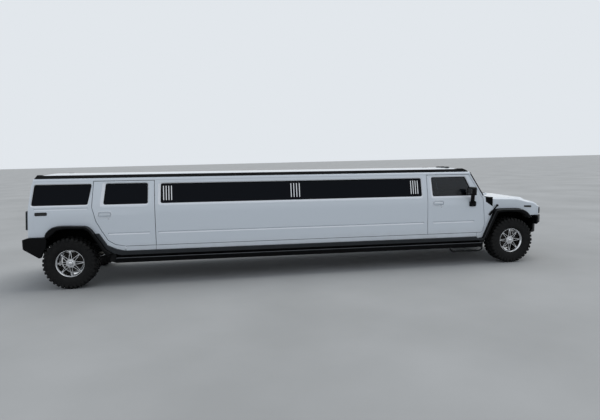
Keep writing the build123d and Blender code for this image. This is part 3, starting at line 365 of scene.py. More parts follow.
def finish_piece(bm, name, material, body="chassis", replaces=(), weighted=True):
    """Turn a bmesh into a finished piece that rides on a body."""
    mesh = bpy.data.meshes.new(name)
    bm.to_mesh(mesh)
    bm.free()
    mesh.polygons.foreach_set("use_smooth", [True] * len(mesh.polygons))
    mesh.materials.append(material)
    piece = bpy.data.objects.new(name, mesh)
    bpy.context.scene.collection.objects.link(piece)
    if weighted:
        normals = piece.modifiers.new("flat_faces", "WEIGHTED_NORMAL")
        normals.keep_sharp = True
    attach(piece, body)
    if replaces:
        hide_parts(*replaces)
    print(name, len(mesh.polygons), "faces on", body)
    return piece


# %% Rounded copies of CAD nodes
def merged_copy(node):
    """Bmesh of a CAD node with its triangles merged back into flat faces."""
    bm = bmesh.new()
    bm.from_mesh(NODE[node].data)
    bmesh.ops.remove_doubles(bm, verts=bm.verts, dist=0.00003)
    bmesh.ops.dissolve_limit(bm, angle_limit=radians(0.4), verts=bm.verts, edges=bm.edges)
    return bm


def round_edges(bm, radius_mm, corner_deg, segments):
    """Bevel every edge sharper than an angle."""
    edges = [e for e in bm.edges if len(e.link_faces) == 2 and e.calc_face_angle(0) > radians(corner_deg)]
    bmesh.ops.bevel(bm, geom=edges, offset=radius_mm / 1000, offset_type="OFFSET", affect="EDGES",
                    segments=segments, profile=0.5, material=-1, clamp_overlap=True)


CREASES = [
    # height of the crease, distance out of its deepest line, how much deeper to press it, in mm
    (838, 939.8, 12),
    (1280, 925.1, 5),
]


def press_creases(bm):
    """Deepen the swage lines, whose lower flank then catches the light from above."""
    for vert in bm.verts:
        x, y, z = level_of(vert.co)
        for height, deep, more in CREASES:
            if abs(z - height) < 2 and abs(abs(y) - deep) < 3:
                vert.co.y -= more / 1000 * (1 if y > 0 else -1)


def dress(node, material, radius_mm, corner_deg, segments):
    """Rounded copy of a CAD node in its place."""
    bm = merged_copy(node)
    if material is white_paint:
        press_creases(bm)
    round_edges(bm, radius_mm, corner_deg, segments)
    finish_piece(bm, node + "_dressed", material, BODY_OF[node], (node,))


# %% Dress the body, its mouldings and the dashboard
DRESSED = [
    # node, material, edge radius in mm, smallest corner in degrees, segments
    ("roof", white_paint, 6, 14, 3),
    ("stretch_sides", white_paint, 3, 12, 2),
    ("rear_quarters", white_paint, 3, 12, 2),
    ("tail_frame", white_paint, 5, 14, 3),
    ("fender_panels", white_paint, 3, 14, 2),
    ("front_panel", white_paint, 4, 14, 3),
    ("hood", white_paint, 9, 10, 4),
    ("liftgate", white_paint, 5, 14, 3),
    ("cowl", black_plastic, 2, 20, 2),
    ("roof_rails", gloss_black, 6, 20, 3),
    ("front_bumper", black_plastic, 7, 20, 3),
    ("rear_bumper", black_plastic, 8, 20, 3),
    ("flares", black_plastic, 5, 20, 3),
    ("side_cladding", satin_plastic, 6, 20, 3),
    ("running_boards", black_plastic, 5, 20, 3),
    ("hood_straps", seal_rubber, 3, 20, 2),
    ("mirror_left", black_plastic, 5, 20, 3),
    ("mirror_right", black_plastic, 5, 20, 3),
    ("roof_lamps", smoked_acrylic, 4, 20, 3),
    ("tail_lamps", grey_acrylic, 4, 20, 3),
    ("dashboard", cabin_plastic, 6, 20, 3),
    ("partition", cabin_plastic, 4, 20, 2),
    ("front_door_left", white_paint, 3, 12, 2),
    ("front_door_right", white_paint, 3, 12, 2),
    ("rear_door_left", white_paint, 3, 12, 2),
    ("rear_door_right", white_paint, 3, 12, 2),
]
for row in DRESSED:
    dress(*row)

# %% Materials of the nodes that keep their CAD mesh
CAD_FINISH = [
    (chassis_enamel, ("frame", "cross_members", "floor", "driveshaft")),
    (cast_iron, ("engine", "rear_axle", "front_suspension", "knuckle_left", "knuckle_right")),
    (liner_felt, ("wheelhouses",)),
    (gloss_black, ("grille",)),
    (aluminised_steel, ("exhaust",)),
    (cabin_plastic, ("fuel_tank",)),
    (privacy_glass, ("fixed_glass", "liftgate_glass", "rear_door_glass_left", "rear_door_glass_right")),
    (clear_glass, ("windscreen", "front_door_glass_left", "front_door_glass_right")),
]
for material, nodes in CAD_FINISH:
    for node in nodes:
        NODE[node].data.materials.clear()
        NODE[node].data.materials.append(material)
print("CAD nodes with their own mesh", sum(len(nodes) for _, nodes in CAD_FINISH))

# %% [markdown]
# ## Rims
# Each rim is cast alloy, turned and chrome plated: a barrel with a deep lip, and eight slim A-shaped spokes
# whose legs meet near the lip. The barrel is a body of revolution, so its section is drawn once and spun
# about the axle. One spoke is a flat outline with a triangular window, raised to a solid with rounded
# edges, and seven copies are turned round the axle. The rim is built at the origin with its outside towards
# +Y, and then placed four times.

# %% Helpers for round pieces
AXLE = Vector((0, 1, 0))
ORIGIN = Vector((0, 0, 0))


def spun(bm, profile, steps, closed=True):
    """Body of revolution about the axle line from points of radius and distance out, in millimetres."""
    verts = [bm.verts.new((r / 1000, y / 1000, 0)) for r, y in profile]
    pairs = list(zip(verts, verts[1:])) + ([(verts[-1], verts[0])] if closed else [])
    edges = [bm.edges.new(pair) for pair in pairs]
    bmesh.ops.spin(bm, geom=verts + edges, axis=AXLE, cent=ORIGIN, angle=2 * pi, steps=steps, use_merge=True)


def turned_copies(bm, count):
    """Copies of everything so far turned round the axle, so that there are count in all."""
    bmesh.ops.spin(bm, geom=bm.verts[:] + bm.edges[:] + bm.faces[:], axis=AXLE, cent=ORIGIN,
                   angle=2 * pi * (count - 1) / count, steps=count - 1, use_duplicate=True, use_merge=False)


def raised(bm, faces):
    """Extrude flat faces where they lie, and give back the new points, ready to be moved."""
    grown = bmesh.ops.extrude_face_region(bm, geom=faces, use_keep_orig=True)["geom"]
    return [g for g in grown if isinstance(g, bmesh.types.BMVert)]


def rounded(bm, radius_mm, segments, corner_deg=30):
    """Turn the faces of a closed shape outwards and round its edges."""
    bmesh.ops.recalc_face_normals(bm, faces=bm.faces)
    if radius_mm:
        round_edges(bm, radius_mm, corner_deg, segments)


def absorb(bm, other):
    """Add a second bmesh to the first."""
    mesh = bpy.data.meshes.new("passing")
    other.to_mesh(mesh)
    other.free()
    bm.from_mesh(mesh)
    bpy.data.meshes.remove(mesh)


def welded(bm):
    """Merge doubles, such as those of a pole, and turn the faces outwards."""
    bmesh.ops.remove_doubles(bm, verts=bm.verts, dist=0.00002)
    bmesh.ops.recalc_face_normals(bm, faces=bm.faces)


# %% Rim: barrel and spokes
RIM_SECTION = [
    # radius, distance out
    (233, 111), (232.5, 116), (229, 118), (225, 116.5), (221, 110), (212, 98), (207, 86), (204, 68),
    (202, 30), (199, -60), (205, -98), (214, -112), (226, -117.5), (232.5, -116), (233, -110), (228, -106),
    (219, -98), (217, -60), (217, 88), (225, 104), (231, 107),
]
SPOKES = 8
SPOKE_OUTLINE = [(42, -24), (66, -28), (207, -11), (207, 11), (66, 28), (42, 24)]
SPOKE_WINDOW = [(74, -18), (182, -3.2), (182, 3.2), (74, 18)]
SPOKE_BACK = 40
SPOKE_FROM, SPOKE_LENGTH = 42, 165
FACE_AT_HUB, FACE_AT_LIP = 86, 72

rim = bmesh.new()
spun(rim, RIM_SECTION, 96)
spoke = bmesh.new()
loops = [[spoke.verts.new((x / 1000, SPOKE_BACK / 1000, z / 1000)) for x, z in outline]
         for outline in (SPOKE_OUTLINE, SPOKE_WINDOW)]
edges = [spoke.edges.new(pair) for loop in loops for pair in zip(loop, loop[1:] + loop[:1])]
bmesh.ops.triangle_fill(spoke, edges=edges, use_beauty=True)
bmesh.ops.dissolve_limit(spoke, angle_limit=0.01, verts=spoke.verts, edges=spoke.edges)
for vert in raised(spoke, spoke.faces[:]):
    reach = (vert.co.x * 1000 - SPOKE_FROM) / SPOKE_LENGTH
    vert.co.y = (FACE_AT_HUB * (1 - reach) + FACE_AT_LIP * reach) / 1000
rounded(spoke, 2.6, 3)
turned_copies(spoke, SPOKES)
absorb(rim, spoke)

# %% Rim: cap and nuts
CAP_SECTION = [(0, 114), (14, 113.5), (26, 111), (33, 106), (38, 98), (41, 88), (52, 86), (56, 81), (57, 40),
               (0, 40)]
NUTS = 8
NUT_CIRCLE, NUT_OUT = 0.049, 0.090

cap = bmesh.new()
spun(cap, CAP_SECTION, 48, closed=False)
absorb(rim, cap)
nut = bmesh.new()
bmesh.ops.create_cone(nut, cap_ends=True, segments=6, radius1=0.0068, radius2=0.006, depth=0.020)
bmesh.ops.rotate(nut, verts=nut.verts, matrix=Matrix.Rotation(-pi / 2, 3, "X"))
bmesh.ops.translate(nut, verts=nut.verts,
                    vec=(NUT_CIRCLE * cos(pi / NUTS), NUT_OUT, NUT_CIRCLE * sin(pi / NUTS)))
rounded(nut, 1.5, 2)
turned_copies(nut, NUTS)
absorb(rim, nut)
welded(rim)
print("rim", len(rim.faces), "faces")

# %% [markdown]
# ## Tyres
# A mud tyre has a rounded carcass and deep separate blocks. The carcass is spun. One pitch of the tread has
# a long and a short shoulder lug on each side, which run over the edge and down the sidewall, and slanted
# blocks in the middle. The pitch is then turned round the axle. The real pitch is 76 mm, which gives 36
# lugs.

# %% Tyre carcass
CARCASS_SECTION = [
    # radius, distance out, from the bead to the middle of the tread
    (214, -100), (222, -110), (231.5, -116), (250, -127), (262, -137), (268, -138), (274, -142), (300, -149),
    (335, -152), (368, -151), (392, -147), (406, -139), (416, -124), (417, -90), (418, 0),
]
tyre = bmesh.new()
spun(tyre, CARCASS_SECTION + [(r, -y) for r, y in reversed(CARCASS_SECTION[:-1])], 108)

# %% Tread: shoulder lugs and middle blocks
LUG_COUNT = 36
LUG_STEP = 2 * pi / LUG_COUNT
LONG_LUG = [(84, 410), (80, 435.6), (131, 435.6), (148, 427), (157, 410), (157.4, 388), (154.8, 356),
            (146, 354)]
SHORT_LUG = [(98, 410), (94, 435.6), (131, 435.6), (148, 427), (157, 410), (157.4, 396), (154.8, 376),
             (146, 374)]
MIDDLE_BLOCKS = [
    # turn in lug steps, corners of (distance out, distance along)
    (0.6, ((10, -34), (52, -26), (70, -4), (64, 12), (22, 4), (8, -12))),
    (1.5, ((14, -14), (40, -22), (68, -12), (74, 14), (34, 20), (10, 12))),
]
BLOCK_FOOT, BLOCK_TOP = 0.414, 0.4355
tread = bmesh.new()


def lug(bm, section, side, turn, half_width, slant):
    """Shoulder lug: a section of (distance out, radius) given a width along the tread."""
    near = [bm.verts.new((r / 1000, side * y / 1000, -half_width / 1000)) for y, r in section]
    far = raised(bm, [bm.faces.new(near)])
    bmesh.ops.translate(bm, vec=(0, 0, 2 * half_width / 1000), verts=far)
    for vert in near + far:
        flare = 0.002 if vert.co.x < 0.42 else 0
        vert.co.z += slant * (abs(vert.co.y) - 0.12) + flare * (1 if vert.co.z > 0 else -1)
    bmesh.ops.rotate(bm, verts=near + far, cent=ORIGIN, matrix=Matrix.Rotation(-turn, 3, "Y"))


def tread_block(bm, corners, turn):
    """Middle block with tapered sides, raised from the carcass."""
    base = [bm.verts.new((BLOCK_FOOT, y / 1000, z / 1000)) for y, z in corners]
    top = raised(bm, [bm.faces.new(base)])
    middle = sum((v.co for v in top), Vector()) / len(top)
    for vert in top:
        vert.co = middle + (vert.co - middle) * 0.9
        vert.co.x = BLOCK_TOP
    bmesh.ops.rotate(bm, verts=base + top, cent=ORIGIN, matrix=Matrix.Rotation(-turn, 3, "Y"))


for side in (1, -1):
    shift = 0 if side == 1 else LUG_STEP
    lug(tread, LONG_LUG, side, shift, 21, 0.12)
    lug(tread, SHORT_LUG, side, shift + LUG_STEP, 19, -0.10)
    for turn, corners in MIDDLE_BLOCKS:
        tread_block(tread, [(side * y, z) for y, z in corners], shift + LUG_STEP * turn)
rounded(tread, 1.8, 1)
turned_copies(tread, LUG_COUNT // 2)
absorb(tyre, tread)
welded(tyre)
print("tyre", len(tyre.faces), "faces")

# %% Place the four wheels
WHEELS = [
    # end, hand, axle's x, side, turn that puts the outside outwards
    ("front", "left", FRONT_AXLE_X, 1, 0),
    ("front", "right", FRONT_AXLE_X, -1, pi),
    ("rear", "left", REAR_AXLE_X, 1, 0),
    ("rear", "right", REAR_AXLE_X, -1, pi),
]
for end, hand, axle_x, side, turn in WHEELS:
    spot = Matrix.Translation((axle_x, side * WHEEL_Y, AXLE_Z)) @ Matrix.Rotation(turn, 4, "Z")
    for part, pattern, material in (("rim", rim, chrome_plate), ("tyre", tyre, tyre_rubber)):
        bm = pattern.copy()
        bm.transform(spot)
        node = f"{end}_{part}_{hand}"
        finish_piece(bm, node + "_detailed", material, f"{end}_wheel_{hand}", (node,))
rim.free()
tyre.free()

# %% [markdown]
# ## Shapes for the trim
# Most trim is a flat outline given a thickness, a ring round an opening, or a round bar bent along a path.
# Each of the three gets one function. They take millimetres in the level body frame, so a number can be
# compared with a drawing of the car, and everything is built on one side and then mirrored to the other. A
# placing function says where the points of a flat outline go, such as on the leaning side wall or on a
# level plane.

# %% Placing functions
SIDE_WALL = [(496, 955), (1150, 947), (1329, 932), (1783, 838)]
TAIL_WALL = [(811, -8766), (1251, -8745), (1411, -8726), (1690, -8690), (1783, -8650)]
HANDS = ((1, "left"), (-1, "right"))


def along(wall, z):
    """Place of a wall's face at a height, from a few of its points."""
    for (z0, reach0), (z1, reach1) in zip(wall, wall[1:]):
        if z <= z1:
            return reach0 + (reach1 - reach0) * (z - z0) / (z1 - z0)
    return wall[-1][1]


def on_plane(axis, depth):
    """Placing function for an outline that lies square to one axis, at a depth."""
    return {"x": lambda y, z: at(depth, y, z), "y": lambda x, z: at(x, depth, z),
            "z": lambda x, y: at(x, y, depth)}[axis]


def on_wall(rise):
    """Placing function for an outline of (x, z) at a rise over the leaning side."""
    return lambda x, z: at(x, along(SIDE_WALL, z) + rise, z)


def on_tail(rise):
    """Placing function for an outline of (y, z) at a rise over the tail wall."""
    return lambda y, z: at(along(TAIL_WALL, z) - rise, y, z)


def owner(body, hand):
    """Name of the body that carries a piece on one side of the car."""
    return body if body == "chassis" else f"{body}_{hand}"


# %% Outlines
def oblong(x0, x1, z0, z1):
    """Four corners of an upright rectangle."""
    return [(x0, z0), (x1, z0), (x1, z1), (x0, z1)]


def curved_corners(points, radius, steps=5):
    """Closed outline with its corners rounded to a radius."""
    out = []
    for i, here in enumerate(points):
        before, after = Vector(points[i - 1]), Vector(points[(i + 1) % len(points)])
        here = Vector(here)
        u, v = (before - here).normalized(), (after - here).normalized()
        half = u.angle(v) / 2
        back = min(radius / tan(half), 0.45 * min((before - here).length, (after - here).length))
        middle = here + (u + v).normalized() * back / cos(half)
        reach = back * tan(half)
        start, end = here + u * back - middle, here + v * back - middle
        turn = start.angle_signed(end)
        for k in range(steps + 1):
            spot = start.copy()
            spot.rotate(Matrix.Rotation(-turn * k / steps, 2))
            out.append(tuple(middle + spot.normalized() * reach))
    return out


def grown_outline(points, distance):
    """Outline with every side moved outwards by a distance."""
    area = sum(a[0] * b[1] - b[0] * a[1] for a, b in zip(points, points[1:] + points[:1]))
    side = 1 if area > 0 else -1
    out = []
    for i, here in enumerate(points):
        here = Vector(here)
        u = (here - Vector(points[i - 1])).normalized()
        v = (Vector(points[(i + 1) % len(points)]) - here).normalized()
        n, m = Vector((u.y, -u.x)) * side, Vector((v.y, -v.x)) * side
        out.append(tuple(here + (n + m) * distance / (1 + n.dot(m))))
    return out


def frame_outlines(points, outer, inner, steps=5):
    """Outer and inner outline of a frame, each from how far out it is moved and its corner radius."""
    return [curved_corners(grown_outline(points, grow), radius, steps) for grow, radius in (outer, inner)]


# %% Solids, rings and bars
def pulled(bm, ring, places):
    """Extrude a closed ring of points to new places, and give back the new ring in the same order."""
    edges = [bm.edges.get(pair) or bm.edges.new(pair) for pair in zip(ring, ring[1:] + ring[:1])]
    fresh = set(bmesh.ops.extrude_edge_only(bm, edges=edges)["geom"])
    grown = [next(e.other_vert(v) for e in v.link_edges if e.other_vert(v) in fresh) for v in ring]
    for vert, place in zip(grown, places):
        vert.co = place
    return grown


def solid(bm, outline, low, high, radius_mm=2, segments=2):
    """Solid between two places of one flat outline, with rounded edges."""
    own = bmesh.new()
    near = [own.verts.new(low(a, b)) for a, b in outline]
    own.faces.new(near)
    own.faces.new(pulled(own, near, [high(a, b) for a, b in outline]))
    rounded(own, radius_mm, segments, 25)
    absorb(bm, own)


def level_solid(bm, outline, low, high, radius_mm=4, segments=2, axis="y"):
    """Solid between two depths along an axis of the level body frame."""
    solid(bm, outline, on_plane(axis, low), on_plane(axis, high), radius_mm, segments)


def wall_solid(bm, outline, sink, rise, radius_mm=2, segments=2):
    """Solid that follows the lean of the body side, from below its face to above it."""
    solid(bm, outline, on_wall(-sink), on_wall(rise), radius_mm, segments)


def ring_solid(bm, outlines, low, high, radius_mm=2, segments=2, inner_high=None):
    """Frame between an outer and an inner outline with as many points each."""
    own = bmesh.new()
    outer, inner = outlines
    ring = [own.verts.new(low(a, b)) for a, b in outer]
    for place, outline in ((low, inner), (inner_high or high, inner), (high, outer), (low, outer)):
        ring = pulled(own, ring, [place(a, b) for a, b in outline])
    bmesh.ops.remove_doubles(own, verts=own.verts, dist=0.000001)
    rounded(own, radius_mm, segments, 40)
    absorb(bm, own)


def round_bar(bm, points, radius_mm, sides=12):
    """Round bar along a path of level (x, y, z) points."""
    own = bmesh.new()
    path = [at(*p) for p in points]
    turns = [2 * pi * k / sides for k in range(sides)]
    ring = []
    flat = Vector((0.31, 0.17, 0.93))
    for i, spot in enumerate(path):
        run = (path[min(i + 1, len(path) - 1)] - path[max(i - 1, 0)]).normalized()
        flat = (flat - run * flat.dot(run)).normalized()
        other = run.cross(flat)
        places = [spot + (flat * cos(turn) + other * sin(turn)) * radius_mm / 1000 for turn in turns]
        if ring:
            ring = pulled(own, ring, places)
        else:
            ring = [own.verts.new(place) for place in places]
            own.faces.new(ring)
    own.faces.new(ring)
    rounded(own, 0, 0)
    absorb(bm, own)


def eased(points, steps=6):
    """Path with its inner corners eased into curves."""
    out = [points[0]]
    for a, b, c in zip(points, points[1:], points[2:]):
        a, b, c = Vector(a), Vector(b), Vector(c)
        start, end = b + (a - b) * 0.42, b + (c - b) * 0.42
        for k in range(steps + 1):
            t = k / steps
            out.append(tuple(start * (1 - t) ** 2 + b * 2 * t * (1 - t) + end * t ** 2))
    return out + [points[-1]]


def turned_part(profiles, steps, matrix):
    """Round part from sections of (radius, distance), spun and then placed."""
    bm = bmesh.new()
    for profile in profiles:
        spun(bm, profile, steps, closed=profile[0][0] > 0 or profile[-1][0] > 0)
    welded(bm)
    bm.transform(matrix)
    return bm


# %% From one side of the car to the other
def one_side(bm, side):
    """Turn a left-hand piece into the piece of a given side."""
    if side < 0:
        bmesh.ops.scale(bm, vec=(1, -1, 1), verts=bm.verts)
        bmesh.ops.reverse_faces(bm, faces=bm.faces[:])
    return bm


def both_sides(bm):
    """Add the mirror image of everything across the car's middle."""
    absorb(bm, one_side(bm.copy(), -1))
    return bm


# %% [markdown]
# ## Seals and borders of the windows
# Every pane sits in a black rubber seal, and round each window the sheet metal is pressed into a raised
# border that catches the light. The border is painted a brighter white than the body, as a painted
# highlight. The seal is a ring that hugs the pane's edge; the border is a low rounded bead that runs just
# outside the recess. A bead could also be drawn as a bump, but it is seen side-on from low views.

# %% Window seals and pressed borders
BODY_WINDOWS = [
    # name, body, outline (x, z), mean border, shift of the border back and down
    ("stretch", "chassis", [(-6603, 1335), (-1812, 1335), (-1816, 1673), (-6593, 1673)], 26, 12, 12),
    ("quarter", "chassis", [(-8698, 1338), (-7808, 1338), (-7733, 1684), (-8648, 1684)], 15, 0, 5),
    ("rear_door", "rear_door", [(-7552, 1332), (-6820, 1332), (-6812, 1686), (-7506, 1686)], 32, 18, 12),
    ("front_door", "front_door",
     [(-1592, 1329), (-748, 1329), (-825, 1470), (-918, 1686), (-1606, 1686)], 26, 12, 12),
]
for name, body, outline, border, back, down in BODY_WINDOWS:
    for side, hand in HANDS:
        bead, seal = bmesh.new(), bmesh.new()
        edge = [(x - back, z - down) for x, z in grown_outline(outline, border + 4)]
        ring_solid(bead, (curved_corners(edge, 46), curved_corners(grown_outline(outline, 2), 30)),
                   on_wall(-24), on_wall(2.5), 1.2, 2, on_wall(-13))
        finish_piece(one_side(bead, side), f"{name}_window_border_{hand}", highlight_white_paint, owner(body, hand))
        ring_solid(seal, frame_outlines(outline, (1, 29), (-13, 20)), on_wall(-24), on_wall(-15), 2.5)
        finish_piece(one_side(seal, side), f"{name}_window_seal_{hand}", seal_rubber, owner(body, hand))

# %% [markdown]
# ## Bars on the long windows
# Groups of four slim chrome bars stand on the long panes. They start from the CAD bars, each island of which
# is drawn in about its own middle and kept on the leaning glass. Then they get round edges.

# %% Slim window bars
WALL_LEAN = 0.207
BAR_WIDTH, BAR_HEIGHT, BAR_SPACING = 0.58, 0.85, 0.94
BARS_BACK = 0.014


def islands(bm):
    """Groups of vertices that hang together."""
    left, groups = set(bm.verts), []
    while left:
        group, open_ends = set(), [left.pop()]
        while open_ends:
            vert = open_ends.pop()
            group.add(vert)
            near = {e.other_vert(vert) for e in vert.link_edges} & left
            left -= near
            open_ends += near
        groups.append(group)
    return groups


bars = merged_copy("window_bars")
bar_groups = islands(bars)
middles = [sum((v.co for v in group), Vector()) / len(group) for group in bar_groups]
for group, middle in zip(bar_groups, middles):
    fellows = [m.x for m in middles if abs(m.x - middle.x) < 0.2]
    centre = sum(fellows) / len(fellows)
    bar_x = centre + (middle.x - centre) * BAR_SPACING - BARS_BACK
    for vert in group:
        lift = (vert.co.z - middle.z) * (BAR_HEIGHT - 1)
        vert.co.x = bar_x + (vert.co.x - middle.x) * BAR_WIDTH
        vert.co.z += lift
        vert.co.y -= WALL_LEAN * lift * (1 if middle.y > 0 else -1)
round_edges(bars, 3, 20, 3)
finish_piece(bars, "window_bars_dressed", chrome_plate, replaces=("window_bars",))

# %% [markdown]
# ## Swage lines
# A long crease is pressed along each panel of the side. Its lower flank leans back and looks up, so it shows
# as a bright line under a dark one. The flank is drawn as a slim wedge that fills the lower half of the
# groove, painted a brighter white than the body as a painted highlight.

# %% Lower flanks of the creases
SWAGES = [
    # name, body, from x, to x, height
    ("stretch", "chassis", -6653, -1780, 838),
    ("quarter", "chassis", -8685, -7811, 1280),
    ("front_door", "front_door", -1593, -756, 838),
    ("rear_door", "rear_door", -7483, -6801, 838),
]
for name, body, x0, x1, z in SWAGES:
    out = along(SIDE_WALL, z)
    section = [(out - 12, z - 4), (out + 2.5, z - 28), (out - 3, z - 32), (out - 20, z - 6)]
    for side, hand in HANDS:
        flank = bmesh.new()
        level_solid(flank, section, x0, x1, 1, 2, "x")
        finish_piece(one_side(flank, side), f"{name}_swage_{hand}", highlight_white_paint, owner(body, hand))

# %% [markdown]
# ## Door handles
# A door is opened by a chrome grip that lies across a pressed pocket, with a bright ring round the pocket.
# The ring is painted a brighter white than the body, as a painted highlight. The ring and the grip are flat
# outlines with full round edges, placed over the plain pocket and bar of the CAD.

# %% Handle rings, grips and locks
HANDLES = [
    # door, middle x and z
    ("front_door", -1488, 1200),
    ("rear_door", -7530, 1166),
]
LOCK_ASIDE, LOCK_BELOW, LOCK_RADIUS = 60, 78, 9
LOCK_TURNS = [pi * k / 8 for k in range(16)]
for door, x, z in HANDLES:
    for side, hand in HANDS:
        ring, grip, lock = bmesh.new(), bmesh.new(), bmesh.new()
        ring_solid(ring, frame_outlines(oblong(x - 108, x + 108, z - 46, z + 46), (9, 48), (0, 39), 8),
                   on_wall(-6), on_wall(7), 4, 4)
        wall_solid(grip, curved_corners(oblong(x - 95, x + 95, z - 18, z + 18), 15, 6), 12, 10, 8, 5)
        circle = [(x + LOCK_ASIDE + LOCK_RADIUS * cos(turn), z - LOCK_BELOW + LOCK_RADIUS * sin(turn))
                  for turn in LOCK_TURNS]
        wall_solid(lock, circle, 4, 2.5, 1)
        for bm, part, finish in ((ring, "handle_ring", highlight_white_paint), (grip, "handle", chrome_plate),
                                 (lock, "lock", chrome_plate)):
            finish_piece(one_side(bm, side), f"{door}_{part}_{hand}", finish, f"{door}_{hand}")

# %% [markdown]
# ## Side markers
# Small dark lamps stand on the side: one behind the rear door's handle line, one on the hood's shoulder.
# Each is a smoked lens in a black bezel.

# %% Side marker lamps
REAR_MARK = oblong(-8636, -8456, 1178, 1220)
HOOD_MARK = [(326, 1076), (470, 1070), (464, 1094), (320, 1100)]
bezels, lenses = bmesh.new(), bmesh.new()
ring_solid(bezels, frame_outlines(REAR_MARK, (7, 16), (-2, 10)), on_wall(-4), on_wall(5))
wall_solid(lenses, curved_corners(REAR_MARK, 11), 3, 3.5, 2.4, 3)
finish_piece(both_sides(bezels), "rear_marker_bezels", gloss_black)
finish_piece(both_sides(lenses), "rear_marker_lenses", smoked_acrylic)
bezels, lenses = bmesh.new(), bmesh.new()
ring_solid(bezels, frame_outlines(HOOD_MARK, (5, 10), (-2, 7)), on_plane("y", 900), on_plane("y", 916), 1.8)
level_solid(lenses, curved_corners(HOOD_MARK, 8), 902, 914, 2.2, 3)
finish_piece(both_sides(bezels), "hood_marker_bezels", gloss_black, "hood")
finish_piece(both_sides(lenses), "hood_marker_lenses", smoked_acrylic, "hood")

# %% [markdown]
# ## Windscreen frame, edge and wipers
# The flat windscreen is glued into its frame with a black rubber edge that shows as a dark line down the
# pillar. The CAD frame stands proud of the glass, so its copy is pressed back towards it. Two wipers rest
# along the foot of the glass: a bent arm and a blade.

# %% Windscreen frame and rubber
PROUD_SHARE = 0.2


def on_screen(y, up, out):
    """Level point at a spot of the windscreen's plane, raised off it."""
    return (-585 - 0.470 * up + 0.8826 * out, y, 1350 + 0.8826 * up + 0.470 * out)


def off_glass(out):
    """Placing function for an outline of (y, up) at a distance off the windscreen."""
    return lambda y, up: at(*on_screen(y, up, out))


foot = at(*on_screen(0, 0, 0))
straight_out = (at(*on_screen(0, 0, 1)) - foot).normalized()
pillars = merged_copy("windscreen_frame")
for vert in pillars.verts:
    proud = (vert.co - foot).dot(straight_out)
    if proud > 0.002:
        vert.co -= straight_out * proud * (1 - PROUD_SHARE)
round_edges(pillars, 2.5, 14, 3)
finish_piece(pillars, "windscreen_frame_dressed", white_paint, replaces=("windscreen_frame",))
rubber = bmesh.new()
solid(rubber, [(928, -34), (938, -36), (842, 474), (832, 474)], off_glass(-10), off_glass(11), 2.5)
both_sides(rubber)
screen_edge = [(-836, 49), (836, 49), (774, 396), (-774, 396)]
ring_solid(rubber, frame_outlines(screen_edge, (6, 40), (-22, 34)), off_glass(1), off_glass(12), 3)
finish_piece(rubber, "windscreen_rubber", seal_rubber)

# %% Wipers
wipers = bmesh.new()
for y in (-560, 180):
    round_bar(wipers, eased([on_screen(y, 4, 10), on_screen(y, 10, 44), on_screen(y + 90, 60, 44),
                             on_screen(y + 180, 98, 32)]), 7)
    round_bar(wipers, [on_screen(y - 120, 84, 22), on_screen(y + 480, 112, 22)], 7, 8)
    round_bar(wipers, [on_screen(y, 4, 0), on_screen(y, 10, 52)], 16, 16)
finish_piece(wipers, "wipers", black_plastic)

# %% [markdown]
# ## Beads on the flares and running boards
# The black mouldings have a raised outer bead that shows as a thin grey line along the wheel arches and the
# running boards. It is one round bar along each, half sunk in the moulding. The plastic there is the same
# black, and the bars are coloured grey as a painted highlight of the sky along the bead; the running
# board's edge bar is a lighter grey for its brighter painted highlight.

# %% Beads of the wheel arches and running boards
# Grey bead bars: a painted highlight along the top of the black flares.
highlight_grey_bead_plastic = moulded_plastic("bead_plastic_greyed_as_painted_highlight", "#2A2C2E", "#3A3C3F", 0.45, 0.5)
# Lighter grey bar: a painted highlight along the running board's top outer edge.
board_edge_highlight_plastic = moulded_plastic("step_edge_plastic_lightened_as_painted_highlight", "#5E6062", "#707274", 0.5, 0.4)
FLARE_Y, BOARD_Y = 1024, 1008
FRONT_ARCH = [(-572, 508), (-344, 1016), (-322, 1034), (-200, 1045), (120, 1041), (220, 1029), (286, 1001),
              (334, 965), (410, 880)]
REAR_ARCH = [(-8478, 841), (-8457, 886), (-8420, 928), (-8362, 968), (-8297, 984), (-8190, 990),
             (-7856, 977), (-7813, 963), (-7778, 936), (-7742, 899), (-7708, 840)]
beads, board_edges = bmesh.new(), bmesh.new()
for arch in (FRONT_ARCH, REAR_ARCH):
    round_bar(beads, [(x, FLARE_Y, z) for x, z in arch], 5, 10)
round_bar(board_edges, [(-7366, BOARD_Y, 414), (-624, BOARD_Y, 414)], 5, 10)
finish_piece(both_sides(board_edges), "running_board_edges", board_edge_highlight_plastic)
finish_piece(both_sides(beads), "arch_beads", highlight_grey_bead_plastic)

# %% [markdown]
# ## Splash flaps and step hoops
# A rubber flap behind each rear wheel keeps mud off the bumper, with a rib across its top. Two more rubber
# pieces close the gaps between the flares and the running board; they are also painted shade, dark blocks
# where the shade under the car falls. A bent bar hangs under the front end of each board as a lower step:
# it is a bar bent four times, with a flat tread on it.

# %% Flaps and steps
flaps, steps = bmesh.new(), bmesh.new()
level_solid(flaps, [(-8574, 462), (-8562, 462), (-8556, 640), (-8568, 640)], 640, 862, 3)
level_solid(flaps, [(-8580, 600), (-8558, 600), (-8556, 626), (-8578, 626)], 650, 852, 3)
